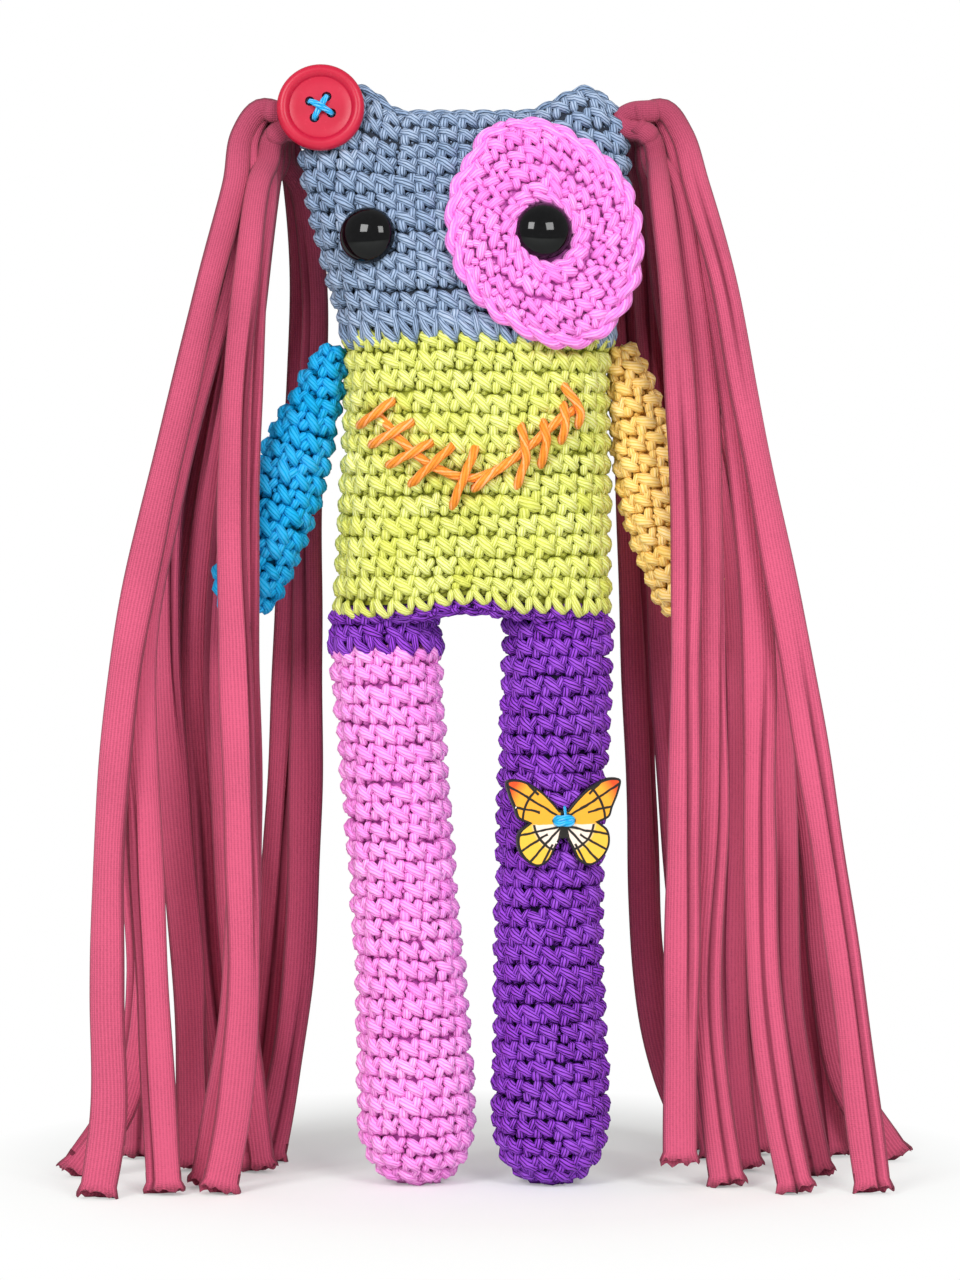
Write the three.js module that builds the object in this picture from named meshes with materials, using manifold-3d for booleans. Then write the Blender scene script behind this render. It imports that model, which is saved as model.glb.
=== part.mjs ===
// A crocheted monster doll with two long bunches of hair.
// Millimetres, +Z up. The face looks along -Y, and left and right are as seen from the front.
import * as THREE from 'three';
import { mergeVertices } from 'three/addons/utils/BufferGeometryUtils.js';
import Module from 'manifold-3d';

const wasm = await Module();
wasm.setup();

// Driving dimensions
const gap = 0.3; // between pieces that touch
const skinWall = 3; // thickness of the crocheted fabric
const standX = 1.9; // moves the doll so that its outline is centred on the origin
const standY = 1.9;

// Head and torso are one pouch. Each level: height, left side, right side, half depth
const pouchLevels = [
  [168.3, -41.5, 36, 19],
  [170.3, -43.6, 37.8, 21.6],
  [174, -44, 38, 22.3],
  [195, -43, 37.8, 22.8],
  [220, -41.6, 37.6, 23],
  [246, -40.4, 37.4, 22.6],
  [256, -41.4, 39, 22],
  [270, -45.8, 41.6, 21],
  [284, -49.4, 43.2, 19],
  [296, -52.8, 43.8, 15.6],
  [307, -54.8, 43.8, 11.4],
  [315, -55, 43, 7.6],
  [320, -53.6, 41.2, 4.8],
  [321.8, -51.6, 39, 3],
];
const pouchSides = 28;
const pouchInnerSides = 16;
const pouchRoundness = 2.7; // 2 is an ellipse, more is squarer
const cornerRise = 7.6; // the corners of the top seam stand above its middle
const cornerStart = 292; // height at which the corners begin to rise
const leftCorner = [0.38, 0.68]; // shares of the half width between which each corner climbs
const rightCorner = [0.45, 1];
const bandTop = 172; // hip band to torso
const neckLine = 254.5; // torso to head

// Legs, which turn under the hip band: height, centre, half width
const legTopRadius = 16;
const legTop = pouchLevels[0][0] - gap;
const hipHeight = legTop - legTopRadius;
const leftLegLevels = [
  [24, -19.8, 17.2],
  [42, -20.4, 16.7],
  [64, -21.8, 15.9],
  [90, -23.8, 15.5],
  [120, -26.2, 15.6],
  [150, -28.6, 16],
  [170, -29.4, 16.2],
];
const rightLegLevels = [
  [24, 20.7, 17.2],
  [42, 20.4, 16.7],
  [64, 20, 15.9],
  [90, 20.1, 15.6],
  [120, 20.9, 15.8],
  [150, 22.2, 16.1],
  [170, 22.8, 16.2],
];
const legSides = 20;
const legInnerSides = 12;
const footHeight = 21; // from the sole to the widest part of the foot
const footSquareness = 2.5;
const soleCut = 0.5; // the foot is flat this deep
const cuffHeight = 7;
const cuffLine = legTop - cuffHeight; // pink to purple on the left leg
const legMouth = 4.5; // radius of the opening left at the top of a leg
const hipWidth = 200; // the rounding of the leg tops runs right across

// Arms, which hang from the shoulder: distance down, half width
const shoulderHeight = 246;
const shoulderRadius = 6.9;
const armLevels = [
  [0, 6.9],
  [12, 8.3],
  [26, 10.3],
  [42, 11.3],
  [57, 11.3],
  [66, 10.6],
];
const armSides = 14;
const armInnerSides = 10;
const armBow = 2; // the arm bends towards the body
const handLength = 14; // from the last level to the tip
const leftArmTilt = 17;
const rightArmTilt = 16.3;
const armMouth = 3; // radius of the opening left at the top of an arm

// Safety eyes
const eyeRadius = 8;
const eyeDome = 5.4;
const eyeRim = 0.9;
const shankRadius = 2.2;
const shankLength = 13;
const shankRibs = 3;
const washerRadius = 7;
const washerThickness = 1.6;
const washerDepth = 6.4; // from the back of the eye to the front of the washer
const washerRoom = 3; // the stuffing stays this far in front of the washer
const leftEye = [-33.8, 284.4];
const rightEye = [17.6, 285];

// Eye patch
const patchCentre = [18.8, 285.3];
const patchHalfWidth = 28.4;
const patchHalfHeight = 34;
const patchTilt = 20;
const patchThickness = 4.8;
const patchFloor = 2.4; // its thickness in the dish under the eye
const patchSides = 28;
const patchBend = 0.8; // share of the head's half width over which the patch follows it

// Button
const buttonCentre = [-48.8, 322.8];
const buttonRadius = 13;
const buttonThickness = 4;
const buttonDish = 9.2;
const buttonDishDepth = 1.5;
const buttonHole = 1.2;
const buttonHoleSpacing = 5.7;
const buttonTurn = 15.6;
const buttonLean = 9;
const threadRadius = 0.85;

// Mouth yarn: the line, and the cross stitches over it, as x and height
const yarnRadius = 1.1;
const mouthLine = [[-31.7, 232.8], [-23.3, 223.2], [-14, 216], [-3.4, 213], [3.8, 215.1],
  [13.7, 222.3], [24.5, 231.6], [29, 234]];
const mouthStitches = [
  [[-36.8, 228.3], [-26.3, 235.8]],
  [[-33.2, 222.6], [-20.6, 229.5]],
  [[-28, 216.6], [-14.9, 223.5]],
  [[-21.5, 210.9], [-8.6, 222.6]],
  [[-9.2, 204], [-1.7, 222.6]],
  [[-2.6, 209.7], [4.4, 215.7]],
  [[9.8, 209.7], [12.8, 219], [11.3, 228.9]],
  [[17, 216.3], [18.8, 223.2], [17.9, 229.8]],
  [[23, 223.5], [24.5, 228.3], [23.9, 234.9]],
  [[28.1, 228.3], [29, 232.5], [23.6, 240.9]],
];

// Butterfly, half of its outline from the top of the body to the bottom
const butterflyCentre = [24.9, 109.2];
const butterflyYaw = 13;
const butterflyThickness = 2;
const butterflyBevel = 0.35;
const butterflyHoles = 2.4; // from the middle of the body
const butterflyHoleRadius = 1.2;
const butterflyThread = 0.9;
const upperWing = [[1.2, 4.2], [5.5, 8.6], [11, 12], [16.2, 12.6], [17.4, 10.4], [15.8, 5.6], [12.6, 1.4], [9.6, -0.6]];
const lowerWing = [[12.8, -3], [13.8, -7], [11.6, -11], [8, -13.4], [4.6, -11.8], [2.2, -7.4], [1, -5.2]];

// Hair. Six strips, each folded in half, hang from a knot at each corner of the head.
const knotRadius = 6.2;
const knotValley = 4.9;
const knotPitch = 3.4;
const knotEnd = 0.6; // rounding past the last loop at each end
const knotCap = 0.7; // share of the valley's radius that the rounding leaves flat
const knotBack = 4; // the knot lies this far behind the seam, so that the button fits before it
const strips = 6;
const leftKnot = [-61.2, 320.5];
const rightKnot = [49.1, 320.5];
const strandWidth = 9.4;
const strandThickness = 5.8;
const rootWidth = 4.4;
const rootThickness = 3;
const rootLength = 30; // the strand keeps its root section this far
const fullLength = 78; // and has its full section from here
const strandSteps = 14;
const columnDepths = [-24, -17.4, 17.4, 24, 30.6, 37.2]; // one column of two strands for each strip
const columnsOpenAt = 266; // below this height the columns are at their depths
const settleFrom = 120; // below this height each strand leans towards the depth of its tip
const hairHeights = [300, 270, 240, 200, 160, 110, 60, 25, 0];

// Each strand: direction in which it leaves the knot, in degrees above the horizontal,
// then how far it is from the middle of the doll at each of hairHeights, and its depth at the tip
const leftHair = [
  [22, [-75, -82, -89, -97.8, -105.3, -110, -111, -110.5, -114], -29],
  [-72, [-69, -71, -72, -71.5, -69.5, -68, -68, -73, -78.5], -21],
  [24, [-73, -80, -87, -95, -101.5, -100.5, -98, -96, -94.5], -22],
  [-84, [-62, -65, -67.5, -68.5, -67.5, -67.5, -70.5, -77.5, -83], -9],
  [22, [-71, -78.5, -88, -95, -96.5, -94, -90, -89, -88.5], 21],
  [-84, [-62.5, -66.5, -72, -77.5, -80, -78, -75, -71.5, -68.5], 18],
  [24, [-74, -81, -89.5, -98.5, -105, -107.5, -104, -109, -124.5], 8],
  [-76, [-65.5, -72, -78.5, -85, -88, -86, -83.5, -79, -74.5], 29],
  [22, [-71.5, -77.5, -85, -92.5, -99, -103.5, -105, -106, -107], 43],
  [-94, [-58.5, -54.8, -53.4, -53.8, -54, -54.8, -57, -62, -67], 36],
  [22, [-69, -74.5, -81, -86.5, -91, -93, -91, -87, -82.5], 50],
  [-88, [-60.5, -59.5, -58.5, -59, -60, -62.5, -66, -70, -74], 53],
];
const rightHair = [
  [24, [65, 72.5, 78.2, 85.2, 92.5, 101, 108.6, 113, 116.4], -21],
  [-66, [58, 59.3, 60, 60, 59.6, 58.8, 58.4, 58.3, 58.4], -14],
  [22, [63.5, 70, 75, 79.5, 82, 82.4, 84, 88.5, 93.5], -21],
  [-78, [56, 59, 63, 66.5, 67.6, 68, 66.4, 70, 73.6], -9],
  [24, [65.5, 72.5, 79, 86, 90.5, 91.5, 92, 97, 102], 8],
  [-78, [57.5, 61, 67, 72.5, 75, 76, 75.5, 78, 81], 20],
  [22, [66, 73.5, 80, 87.5, 94.5, 100.5, 106, 113, 129], 38],
  [-78, [56.5, 60, 64.5, 69.5, 74, 77.5, 81, 84, 86.5], 50],
  [24, [64, 70.5, 77, 84.5, 91.5, 98, 103.5, 107, 110], 46],
  [-88, [53.5, 52.4, 53.4, 55, 57, 60.5, 64, 68.5, 74], 43],
  [22, [63, 68.5, 75, 82.5, 90, 97, 104, 109.5, 115], 55],
  [-96, [51.4, 47.6, 45.8, 45.6, 46, 48, 51, 59, 69], 57],
];

// Colours and finishes
const yarn = (color) => new THREE.MeshStandardMaterial({ color, roughness: 0.9, metalness: 0 });
const headBlue = yarn('#8fa3bc');
const lime = yarn('#d0df62');
const purple = yarn('#6a35a6');
const pink = yarn('#f287df');
const blue = yarn('#1b92d6');
const orange = yarn('#f8c26a');
const mouthOrange = yarn('#f79a35');
const rose = yarn('#b0496a');
const cyan = yarn('#18a4de');
const filling = yarn('#f1eee6');
const blackGloss = new THREE.MeshStandardMaterial({ color: '#0b0b0e', roughness: 0.08, metalness: 0 });
const redPlastic = new THREE.MeshStandardMaterial({ color: '#dd2a45', roughness: 0.3, metalness: 0 });
const whitePlastic = new THREE.MeshStandardMaterial({ color: '#e8e8e6', roughness: 0.4, metalness: 0 });
const paintedWood = new THREE.MeshStandardMaterial({ color: '#f3c14a', roughness: 0.5, metalness: 0 });

const radians = THREE.MathUtils.degToRad;
const lerp = THREE.MathUtils.lerp;
const smoothstep = THREE.MathUtils.smoothstep;
const farBelow = -50; // slabs for cutting reach from here
const farAbove = 400; // to here

// Solids: to and from manifold, which joins and cuts them
function bare(geometry) {
  const copy = geometry.clone();
  copy.deleteAttribute('normal');
  copy.deleteAttribute('uv');
  return mergeVertices(copy, 1e-4);
}

function solidOf(geometry) {
  const merged = bare(geometry);
  return new wasm.Manifold(new wasm.Mesh({
    numProp: 3,
    vertProperties: new Float32Array(merged.getAttribute('position').array),
    triVerts: new Uint32Array(merged.getIndex().array),
  }));
}

function geometryOf(solid) {
  const mesh = solid.getMesh();
  const geometry = new THREE.BufferGeometry();
  geometry.setAttribute('position', new THREE.BufferAttribute(new Float32Array(mesh.vertProperties), 3));
  geometry.setIndex(new THREE.BufferAttribute(new Uint32Array(mesh.triVerts), 1));
  geometry.computeVertexNormals();
  return geometry;
}

function named(name, geometry, material) {
  const mesh = new THREE.Mesh(geometry, material);
  mesh.name = name;
  return mesh;
}

// A slab of space between two heights, for cutting
function slab(low, high) {
  const wide = 400;
  const geometry = new THREE.BoxGeometry(wide, wide, high - low);
  geometry.translate(0, 0, (low + high) / 2);
  return solidOf(geometry);
}

// A closed skin over a stack of rings. Each end is a strip from the front edge to the back edge.
function loft(rings) {
  const sides = rings[0].length;
  const faces = [];
  const triangle = (a, b, c) => {
    if (a !== b && b !== c && c !== a) faces.push(a, b, c);
  };
  const quad = (a, b, c, d) => {
    triangle(a, b, c);
    triangle(a, c, d);
  };
  for (let r = 0; r + 1 < rings.length; r++) {
    for (let k = 0; k < sides; k++) {
      const next = (k + 1) % sides;
      quad(r * sides + k, r * sides + next, (r + 1) * sides + next, (r + 1) * sides + k);
    }
  }
  const top = (rings.length - 1) * sides;
  for (let k = 0; k < sides / 2; k++) {
    const corners = [k, k + 1, sides - k - 1, (sides - k) % sides];
    quad(...corners.map((c) => top + c));
    quad(...corners.reverse());
  }
  const geometry = new THREE.BufferGeometry();
  geometry.setAttribute('position', new THREE.Float32BufferAttribute(rings.flat(2), 3));
  geometry.setIndex(faces);
  return geometry;
}

// How much of a corner's rise is reached at a share u of the half width
const cornerShape = (u) => smoothstep(-u, ...leftCorner) + smoothstep(u, ...rightCorner);

// One ring of a loft: a squared ellipse about the centre
function ring(centre, halfWidth, halfDepth, height, sides, roundness = 2, rise = 0) {
  return Array.from({ length: sides }, (_, k) => {
    const angle = (2 * Math.PI * k) / sides;
    const c = Math.cos(angle);
    const s = Math.sin(angle);
    const u = Math.sign(c) * Math.abs(c) ** (2 / roundness);
    const v = Math.sign(s) * Math.abs(s) ** (2 / roundness);
    return [centre + halfWidth * u, halfDepth * v, height + rise * cornerShape(u)];
  });
}

// Values of a table of levels at any height between them
function levelAt(levels, height) {
  const last = levels.length - 1;
  const h = THREE.MathUtils.clamp(height, levels[0][0], levels[last][0]);
  const i = Math.min(levels.findIndex((level) => level[0] >= h) || 1, last);
  const share = (h - levels[i - 1][0]) / (levels[i][0] - levels[i - 1][0]);
  return levels[i].map((value, k) => lerp(levels[i - 1][k], value, share));
}

// Pouch of head and torso
const riseAt = (height) => {
  const share = (height - cornerStart) / (pouchLevels.at(-1)[0] - cornerStart);
  return cornerRise * Math.max(0, share) ** 1.5;
};

// The pouch, or what is inside it, up to the height where it is as thin as least
function pouch(inset, least = 0) {
  const levels = pouchLevels.filter((level) => level[3] - inset > least);
  return loft(levels.map(([height, left, right, depth]) => ring(
    (left + right) / 2, (right - left) / 2 - inset, depth - inset, height,
    inset ? pouchInnerSides : pouchSides, pouchRoundness, riseAt(height),
  )));
}

// Depth of the pouch's front surface at a place on it, up to a share of its half width
function frontDepth(x, height, reach = 1) {
  let level = height;
  let u = 0;
  let values = [];
  for (let i = 0; i < 4; i++) {
    values = levelAt(pouchLevels, level);
    const middle = (values[1] + values[2]) / 2;
    u = THREE.MathUtils.clamp((x - middle) / ((values[2] - values[1]) / 2), -reach, reach);
    level = height - riseAt(level) * cornerShape(u);
  }
  return values[3] * Math.max(0, 1 - Math.abs(u) ** pouchRoundness) ** (1 / pouchRoundness);
}

// Where a round flat-backed piece sits on the pouch's front, and how it is turned
function frontSeat([x, height], radius) {
  const at = (dx, dz) => -frontDepth(x + dx, height + dz, 0.97);
  const slopeX = (at(radius, 0) - at(-radius, 0)) / (2 * radius);
  const slopeZ = (at(0, radius) - at(0, -radius)) / (2 * radius);
  const normal = new THREE.Vector3(slopeX, -1, slopeZ).normalize();
  const point = new THREE.Vector3(x, at(0, 0), height);
  let lift = 0;
  for (let k = 0; k < 12; k++) {
    const angle = (Math.PI * k) / 6;
    const dx = radius * Math.cos(angle);
    const dz = radius * Math.sin(angle);
    const rim = new THREE.Vector3(x + dx, at(dx, dz), height + dz);
    lift = Math.max(lift, rim.sub(point).dot(normal));
  }
  return { normal, point: point.addScaledVector(normal, lift + gap) };
}

// Turns a lathed piece, whose axis is Y, so that it faces along a normal
function facing(mesh, { point, normal }) {
  mesh.position.copy(point);
  mesh.quaternion.setFromUnitVectors(new THREE.Vector3(0, 1, 0), normal);
  mesh.updateMatrix();
  return mesh;
}

const placedSolid = (mesh) => solidOf(mesh.geometry.clone().applyMatrix4(mesh.matrix));

// A safety eye: glossy dome, flat back and ribbed shank
function eyeGeometry() {
  const profile = [[0, -shankLength], [shankRadius * 0.6, -shankLength]];
  const ribPitch = (shankLength - 2) / shankRibs;
  for (let i = 0; i < shankRibs; i++) {
    const y = -shankLength + 1 + i * ribPitch;
    profile.push([shankRadius * 0.8, y], [shankRadius, y + ribPitch * 0.7]);
  }
  profile.push([shankRadius * 0.8, 0], [eyeRadius, 0], [eyeRadius, eyeRim]);
  const domeSteps = 5;
  for (let i = 1; i <= domeSteps; i++) {
    const angle = (Math.PI / 2) * (i / domeSteps);
    const radius = i === domeSteps ? 0 : eyeRadius * Math.cos(angle);
    profile.push([radius, eyeRim + (eyeDome - eyeRim) * Math.sin(angle)]);
  }
  return new THREE.LatheGeometry(profile.map(([x, y]) => new THREE.Vector2(x, y)), 16);
}

function latheRing(inner, outer, low, high, sides) {
  const corners = [[inner, low], [outer, low], [outer, high], [inner, high], [inner, low]];
  return new THREE.LatheGeometry(corners.map(([x, y]) => new THREE.Vector2(x, y)), sides);
}

// A round bar along the seat's normal, from behind its face to in front of it
function borer(seat, radius, behind, before, sides = 16) {
  const geometry = new THREE.CylinderGeometry(radius, radius, behind + before, sides);
  geometry.translate(0, (before - behind) / 2, 0);
  return placedSolid(facing(new THREE.Mesh(geometry), seat));
}

function buildEye(side, place) {
  const seat = frontSeat(place, eyeRadius);
  const lift = side === 'right' ? patchFloor + 2 * gap : 0;
  seat.point.addScaledVector(seat.normal, lift);
  const eye = facing(named(`eye_${side}`, eyeGeometry(), blackGloss), seat);
  const depth = washerDepth + lift;
  const washerGeometry = latheRing(shankRadius + gap, washerRadius, -depth - washerThickness, -depth, 16);
  const washer = facing(named(`eye_washer_${side}`, washerGeometry, whitePlastic), seat);
  return { seat, eye, washer, depth };
}

// Oval patch that follows the front of the head, dished where the eye sits
function patchGeometry() {
  const profile = [
    [0, 0], [0.25, 0], [0.5, 0], [0.72, 0], [0.93, 0], [1, patchThickness / 3], [0.985, patchThickness * 0.7],
    [0.93, patchThickness], [0.78, patchThickness], [0.52, patchThickness * 0.86], [0.3, patchFloor], [0, patchFloor],
  ];
  const geometry = new THREE.LatheGeometry(profile.map(([x, y]) => new THREE.Vector2(x, y)), patchSides);
  const places = geometry.getAttribute('position');
  const turn = radians(patchTilt);
  for (let i = 0; i < places.count; i++) {
    const across = patchHalfWidth * places.getX(i);
    const up = -patchHalfHeight * places.getZ(i);
    const x = patchCentre[0] + across * Math.cos(turn) - up * Math.sin(turn);
    const z = patchCentre[1] + across * Math.sin(turn) + up * Math.cos(turn);
    places.setXYZ(i, x, -frontDepth(x, z, patchBend) - 2 * gap - places.getY(i), z);
  }
  return geometry;
}

// Yarn along points, as a tube with closed ends
function yarnTube(points, radius, steps, sides = 6) {
  const section = new THREE.Shape(Array.from({ length: sides }, (_, k) => {
    const angle = (2 * Math.PI * k) / sides;
    return new THREE.Vector2(radius * Math.cos(angle), radius * Math.sin(angle));
  }));
  const path = new THREE.CatmullRomCurve3(points);
  return solidOf(new THREE.ExtrudeGeometry(section, { steps, extrudePath: path, bevelEnabled: false }));
}

// The mouth lies on the torso, and its cross stitches ride over the line
function mouthSolid() {
  const lay = ([x, z], over) => new THREE.Vector3(x, -frontDepth(x, z) - yarnRadius - 2 * gap - over, z);
  const line = yarnTube(mouthLine.map((place) => lay(place, 0)), yarnRadius, 12);
  return mouthStitches.reduce((solid, stitch) => {
    const ends = stitch.length === 3 ? stitch : [stitch[0],
      [lerp(stitch[0][0], stitch[1][0], 0.5), lerp(stitch[0][1], stitch[1][1], 0.5)], stitch[1]];
    const points = ends.map((place, i) => lay(place, i === 1 ? yarnRadius : 0));
    return solid.add(yarnTube(points, yarnRadius, 3, 5));
  }, line);
}

function buttonParts() {
  const rim = 1.5;
  const profile = [
    [0, 0], [buttonRadius - rim, 0], [buttonRadius, rim], [buttonRadius, buttonThickness - rim],
    [buttonRadius - rim * 0.6, buttonThickness - 0.2], [buttonRadius - rim * 1.4, buttonThickness],
    [buttonDish + 0.7, buttonThickness - 0.4], [buttonDish, buttonThickness - buttonDishDepth],
    [0, buttonThickness - buttonDishDepth],
  ];
  const disc = new THREE.LatheGeometry(profile.map(([x, y]) => new THREE.Vector2(x, y)), 28);
  const half = buttonHoleSpacing / 2;
  const turn = radians(buttonTurn);
  const corners = [[-1, -1], [1, -1], [1, 1], [-1, 1]].map(([a, b]) => new THREE.Vector2(a * half, b * half)
    .rotateAround(new THREE.Vector2(), turn));
  let solid = solidOf(disc);
  for (const corner of corners) {
    const hole = new THREE.CylinderGeometry(buttonHole, buttonHole, 3 * buttonThickness, 10);
    hole.translate(corner.x, 0, corner.y);
    solid = solid.subtract(solidOf(hole));
  }
  const face = buttonThickness - buttonDishDepth + threadRadius + gap;
  const strand = (a, b, over) => yarnTube([
    new THREE.Vector3(a.x, 0.1, a.y), new THREE.Vector3(a.x, face * 0.7, a.y),
    new THREE.Vector3(a.x * 0.8, face + 0.1, a.y * 0.8), new THREE.Vector3(0, face + over, 0),
    new THREE.Vector3(b.x * 0.8, face + 0.1, b.y * 0.8), new THREE.Vector3(b.x, face * 0.7, b.y),
    new THREE.Vector3(b.x, 0.1, b.y),
  ], threadRadius, 10);
  const thread = strand(corners[0], corners[2], 0).add(strand(corners[1], corners[3], threadRadius));
  return { disc: geometryOf(solid), thread: geometryOf(thread) };
}

// The button lies over the corner of the head and the knot behind it, and looks a little up
function buildButton() {
  const normal = new THREE.Vector3(0, -Math.cos(radians(buttonLean)), Math.sin(radians(buttonLean)));
  const point = new THREE.Vector3(buttonCentre[0], 0, buttonCentre[1]);
  let stand = -Infinity;
  for (let x = -buttonRadius; x <= buttonRadius; x += 1) {
    for (let z = -buttonRadius; z <= buttonRadius; z += 1) {
      if (Math.hypot(x, z) > buttonRadius) continue;
      const under = new THREE.Vector3(point.x + x, 0, point.z + z);
      under.y = -Math.max(frontDepth(under.x, under.z), 0);
      stand = Math.max(stand, under.sub(point).dot(normal));
    }
  }
  const knotFront = knotBack - (strips * knotPitch) / 2;
  for (const [edge, back] of [[knotValley * knotCap, -knotEnd], [knotRadius, knotPitch / 3]]) {
    const under = new THREE.Vector3(leftKnot[0], knotFront + back, leftKnot[1] + edge);
    stand = Math.max(stand, under.sub(point).dot(normal));
  }
  point.addScaledVector(normal, stand + gap);
  const { disc, thread } = buttonParts();
  const seat = { point, normal };
  return [
    facing(named('button', disc, redPlastic), seat),
    facing(named('button_thread', thread, cyan), seat),
  ];
}

// Legs
function legGeometry(levels, inset) {
  const [, footCentre, footWidth] = levels[0];
  const rings = [];
  const footSteps = 5;
  const sides = inset ? legInnerSides : legSides;
  const soleShare = 0.33;
  for (let i = 0; i < footSteps; i++) {
    const t = lerp(soleShare, 0.96, i / (footSteps - 1));
    const rise = footHeight * (1 - (1 - t ** footSquareness) ** (1 / footSquareness));
    const height = i === 0 ? inset : inset + rise - soleCut;
    rings.push(ring(footCentre, (footWidth - inset) * t, (footWidth - inset) * t, height, sides, 2));
  }
  for (const [height, centre, halfWidth] of levels) {
    const size = halfWidth - inset;
    rings.push(ring(centre, size, size, Math.max(height, inset + footHeight), sides, 2));
  }
  return loft(rings);
}

// The top of a leg is round about the hip, so that it turns under the hip band
function hipCut(radius) {
  const barrel = new THREE.CylinderGeometry(radius, radius, hipWidth, 40);
  barrel.rotateZ(Math.PI / 2);
  barrel.translate(0, 0, hipHeight);
  return solidOf(barrel).add(slab(farBelow, hipHeight));
}

function legSolid(levels, inset) {
  return solidOf(legGeometry(levels, inset)).intersect(hipCut(legTopRadius - inset));
}

function buildLeg(side, levels, colour) {
  const top = levels.at(-2);
  const mouth = new THREE.CylinderGeometry(legMouth, legMouth, 40, 16);
  mouth.rotateX(Math.PI / 2);
  mouth.translate(top[1], 0, legTop);
  const skin = legSolid(levels, 0).subtract(legSolid(levels, skinWall)).subtract(solidOf(mouth));
  const stuffing = geometryOf(legSolid(levels, skinWall + gap));
  const pieces = [named(`leg_${side}_stuffing`, stuffing, filling)];
  if (side === 'left') {
    const low = slab(farBelow, cuffLine - gap / 2);
    const high = slab(cuffLine + gap / 2, farAbove);
    pieces.push(named('leg_left_skin', geometryOf(skin.intersect(low)), colour));
    pieces.push(named('leg_left_cuff', geometryOf(skin.intersect(high)), purple));
  } else {
    pieces.push(named(`leg_${side}_skin`, geometryOf(skin), colour));
  }
  return pieces;
}

// Butterfly: a thin shaped plate with two holes, and a loop of thread through them
function buildButterfly() {
  const half = [...upperWing, ...lowerWing].map(([x, y]) => new THREE.Vector2(x, y));
  const other = half.map((p) => new THREE.Vector2(-p.x, p.y)).reverse();
  const outline = new THREE.Shape();
  outline.moveTo(half[0].x, half[0].y);
  outline.splineThru(half.slice(1, upperWing.length));
  outline.splineThru(half.slice(upperWing.length));
  outline.lineTo(other[0].x, other[0].y);
  outline.splineThru(other.slice(1, lowerWing.length));
  outline.splineThru(other.slice(lowerWing.length));
  outline.closePath();
  const plate = new THREE.ExtrudeGeometry(outline, {
    depth: butterflyThickness - 2 * butterflyBevel, curveSegments: 2, bevelSegments: 1,
    bevelThickness: butterflyBevel, bevelSize: butterflyBevel, bevelOffset: -butterflyBevel,
  });
  plate.translate(0, 0, butterflyBevel);
  let solid = solidOf(plate);
  for (const x of [-butterflyHoles, butterflyHoles]) {
    const hole = new THREE.CylinderGeometry(butterflyHoleRadius, butterflyHoleRadius, 10, 12);
    hole.rotateX(Math.PI / 2);
    hole.translate(x, 0, 0);
    solid = solid.subtract(solidOf(hole));
  }
  const face = butterflyThickness + butterflyThread + 0.2;
  const thread = yarnTube([
    new THREE.Vector3(-butterflyHoles, 0, 0.1), new THREE.Vector3(-butterflyHoles, 0, face * 0.8),
    new THREE.Vector3(-butterflyHoles * 0.7, 0, face), new THREE.Vector3(0, 0, face + 0.1),
    new THREE.Vector3(butterflyHoles * 0.7, 0, face), new THREE.Vector3(butterflyHoles, 0, face * 0.8),
    new THREE.Vector3(butterflyHoles, 0, 0.1),
  ], butterflyThread, 10);
  const [, centre, halfWidth] = levelAt(rightLegLevels, butterflyCentre[1]);
  const yaw = radians(butterflyYaw);
  const group = new THREE.Group();
  const touch = new THREE.Vector3(centre + halfWidth * Math.sin(yaw), -halfWidth * Math.cos(yaw), 0);
  const away = new THREE.Vector3(Math.sin(yaw), -Math.cos(yaw), 0);
  const along = butterflyCentre[0] - touch.x;
  group.position.copy(touch).addScaledVector(away, gap);
  group.position.add(new THREE.Vector3(along, along * Math.tan(yaw), butterflyCentre[1]));
  group.rotation.set(Math.PI / 2, 0, yaw, 'ZXY');
  group.add(named('butterfly', geometryOf(solid), paintedWood), named('butterfly_thread', geometryOf(thread), cyan));
  return group;
}

// Arms, in the shoulder's own frame, hanging down
function armGeometry(inset, towards) {
  const rings = [];
  const sides = inset ? armInnerSides : armSides;
  const [lastDown, lastWidth] = armLevels.at(-1);
  const offset = (down) => towards * armBow * Math.sin((Math.PI * down) / (lastDown + handLength));
  const add = (down, halfWidth) => {
    const size = halfWidth - inset;
    if (size > 0.5) rings.push(ring(offset(down), size, size, -down, sides, 2));
  };
  const tip = handLength - inset;
  for (const angle of [12, 30, 48, 68]) {
    const a = radians(angle);
    const size = (lastWidth - inset) * Math.sin(a);
    rings.push(ring(offset(lastDown), size, size, -lastDown - tip * Math.cos(a), sides, 2));
  }
  for (const [down, halfWidth] of [...armLevels].reverse()) add(down, halfWidth);
  for (const angle of [25, 50, 75]) {
    const a = radians(angle);
    const size = (shoulderRadius - inset) * Math.cos(a);
    rings.push(ring(0, size, size, (shoulderRadius - inset) * Math.sin(a), sides, 2));
  }
  return loft(rings);
}

function buildArm(side, colour) {
  const towards = side === 'left' ? 1 : -1;
  const torso = levelAt(pouchLevels, shoulderHeight);
  const edge = side === 'left' ? torso[1] : torso[2];
  const mouthReach = 20;
  const mouth = new THREE.CylinderGeometry(armMouth, armMouth, mouthReach, 12);
  mouth.rotateX(Math.PI / 2);
  mouth.translate(0, 0, shoulderRadius - skinWall - 1 + mouthReach / 2);
  const skin = solidOf(armGeometry(0, towards)).subtract(solidOf(armGeometry(skinWall, towards)))
    .subtract(solidOf(mouth));
  const group = new THREE.Group();
  group.position.set(edge - towards * (shoulderRadius + gap), 0, shoulderHeight);
  group.rotation.y = towards * radians(side === 'left' ? leftArmTilt : rightArmTilt);
  group.add(
    named(`arm_${side}_skin`, geometryOf(skin), colour),
    named(`arm_${side}_stuffing`, armGeometry(skinWall + gap, towards), filling),
  );
  return group;
}

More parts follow.
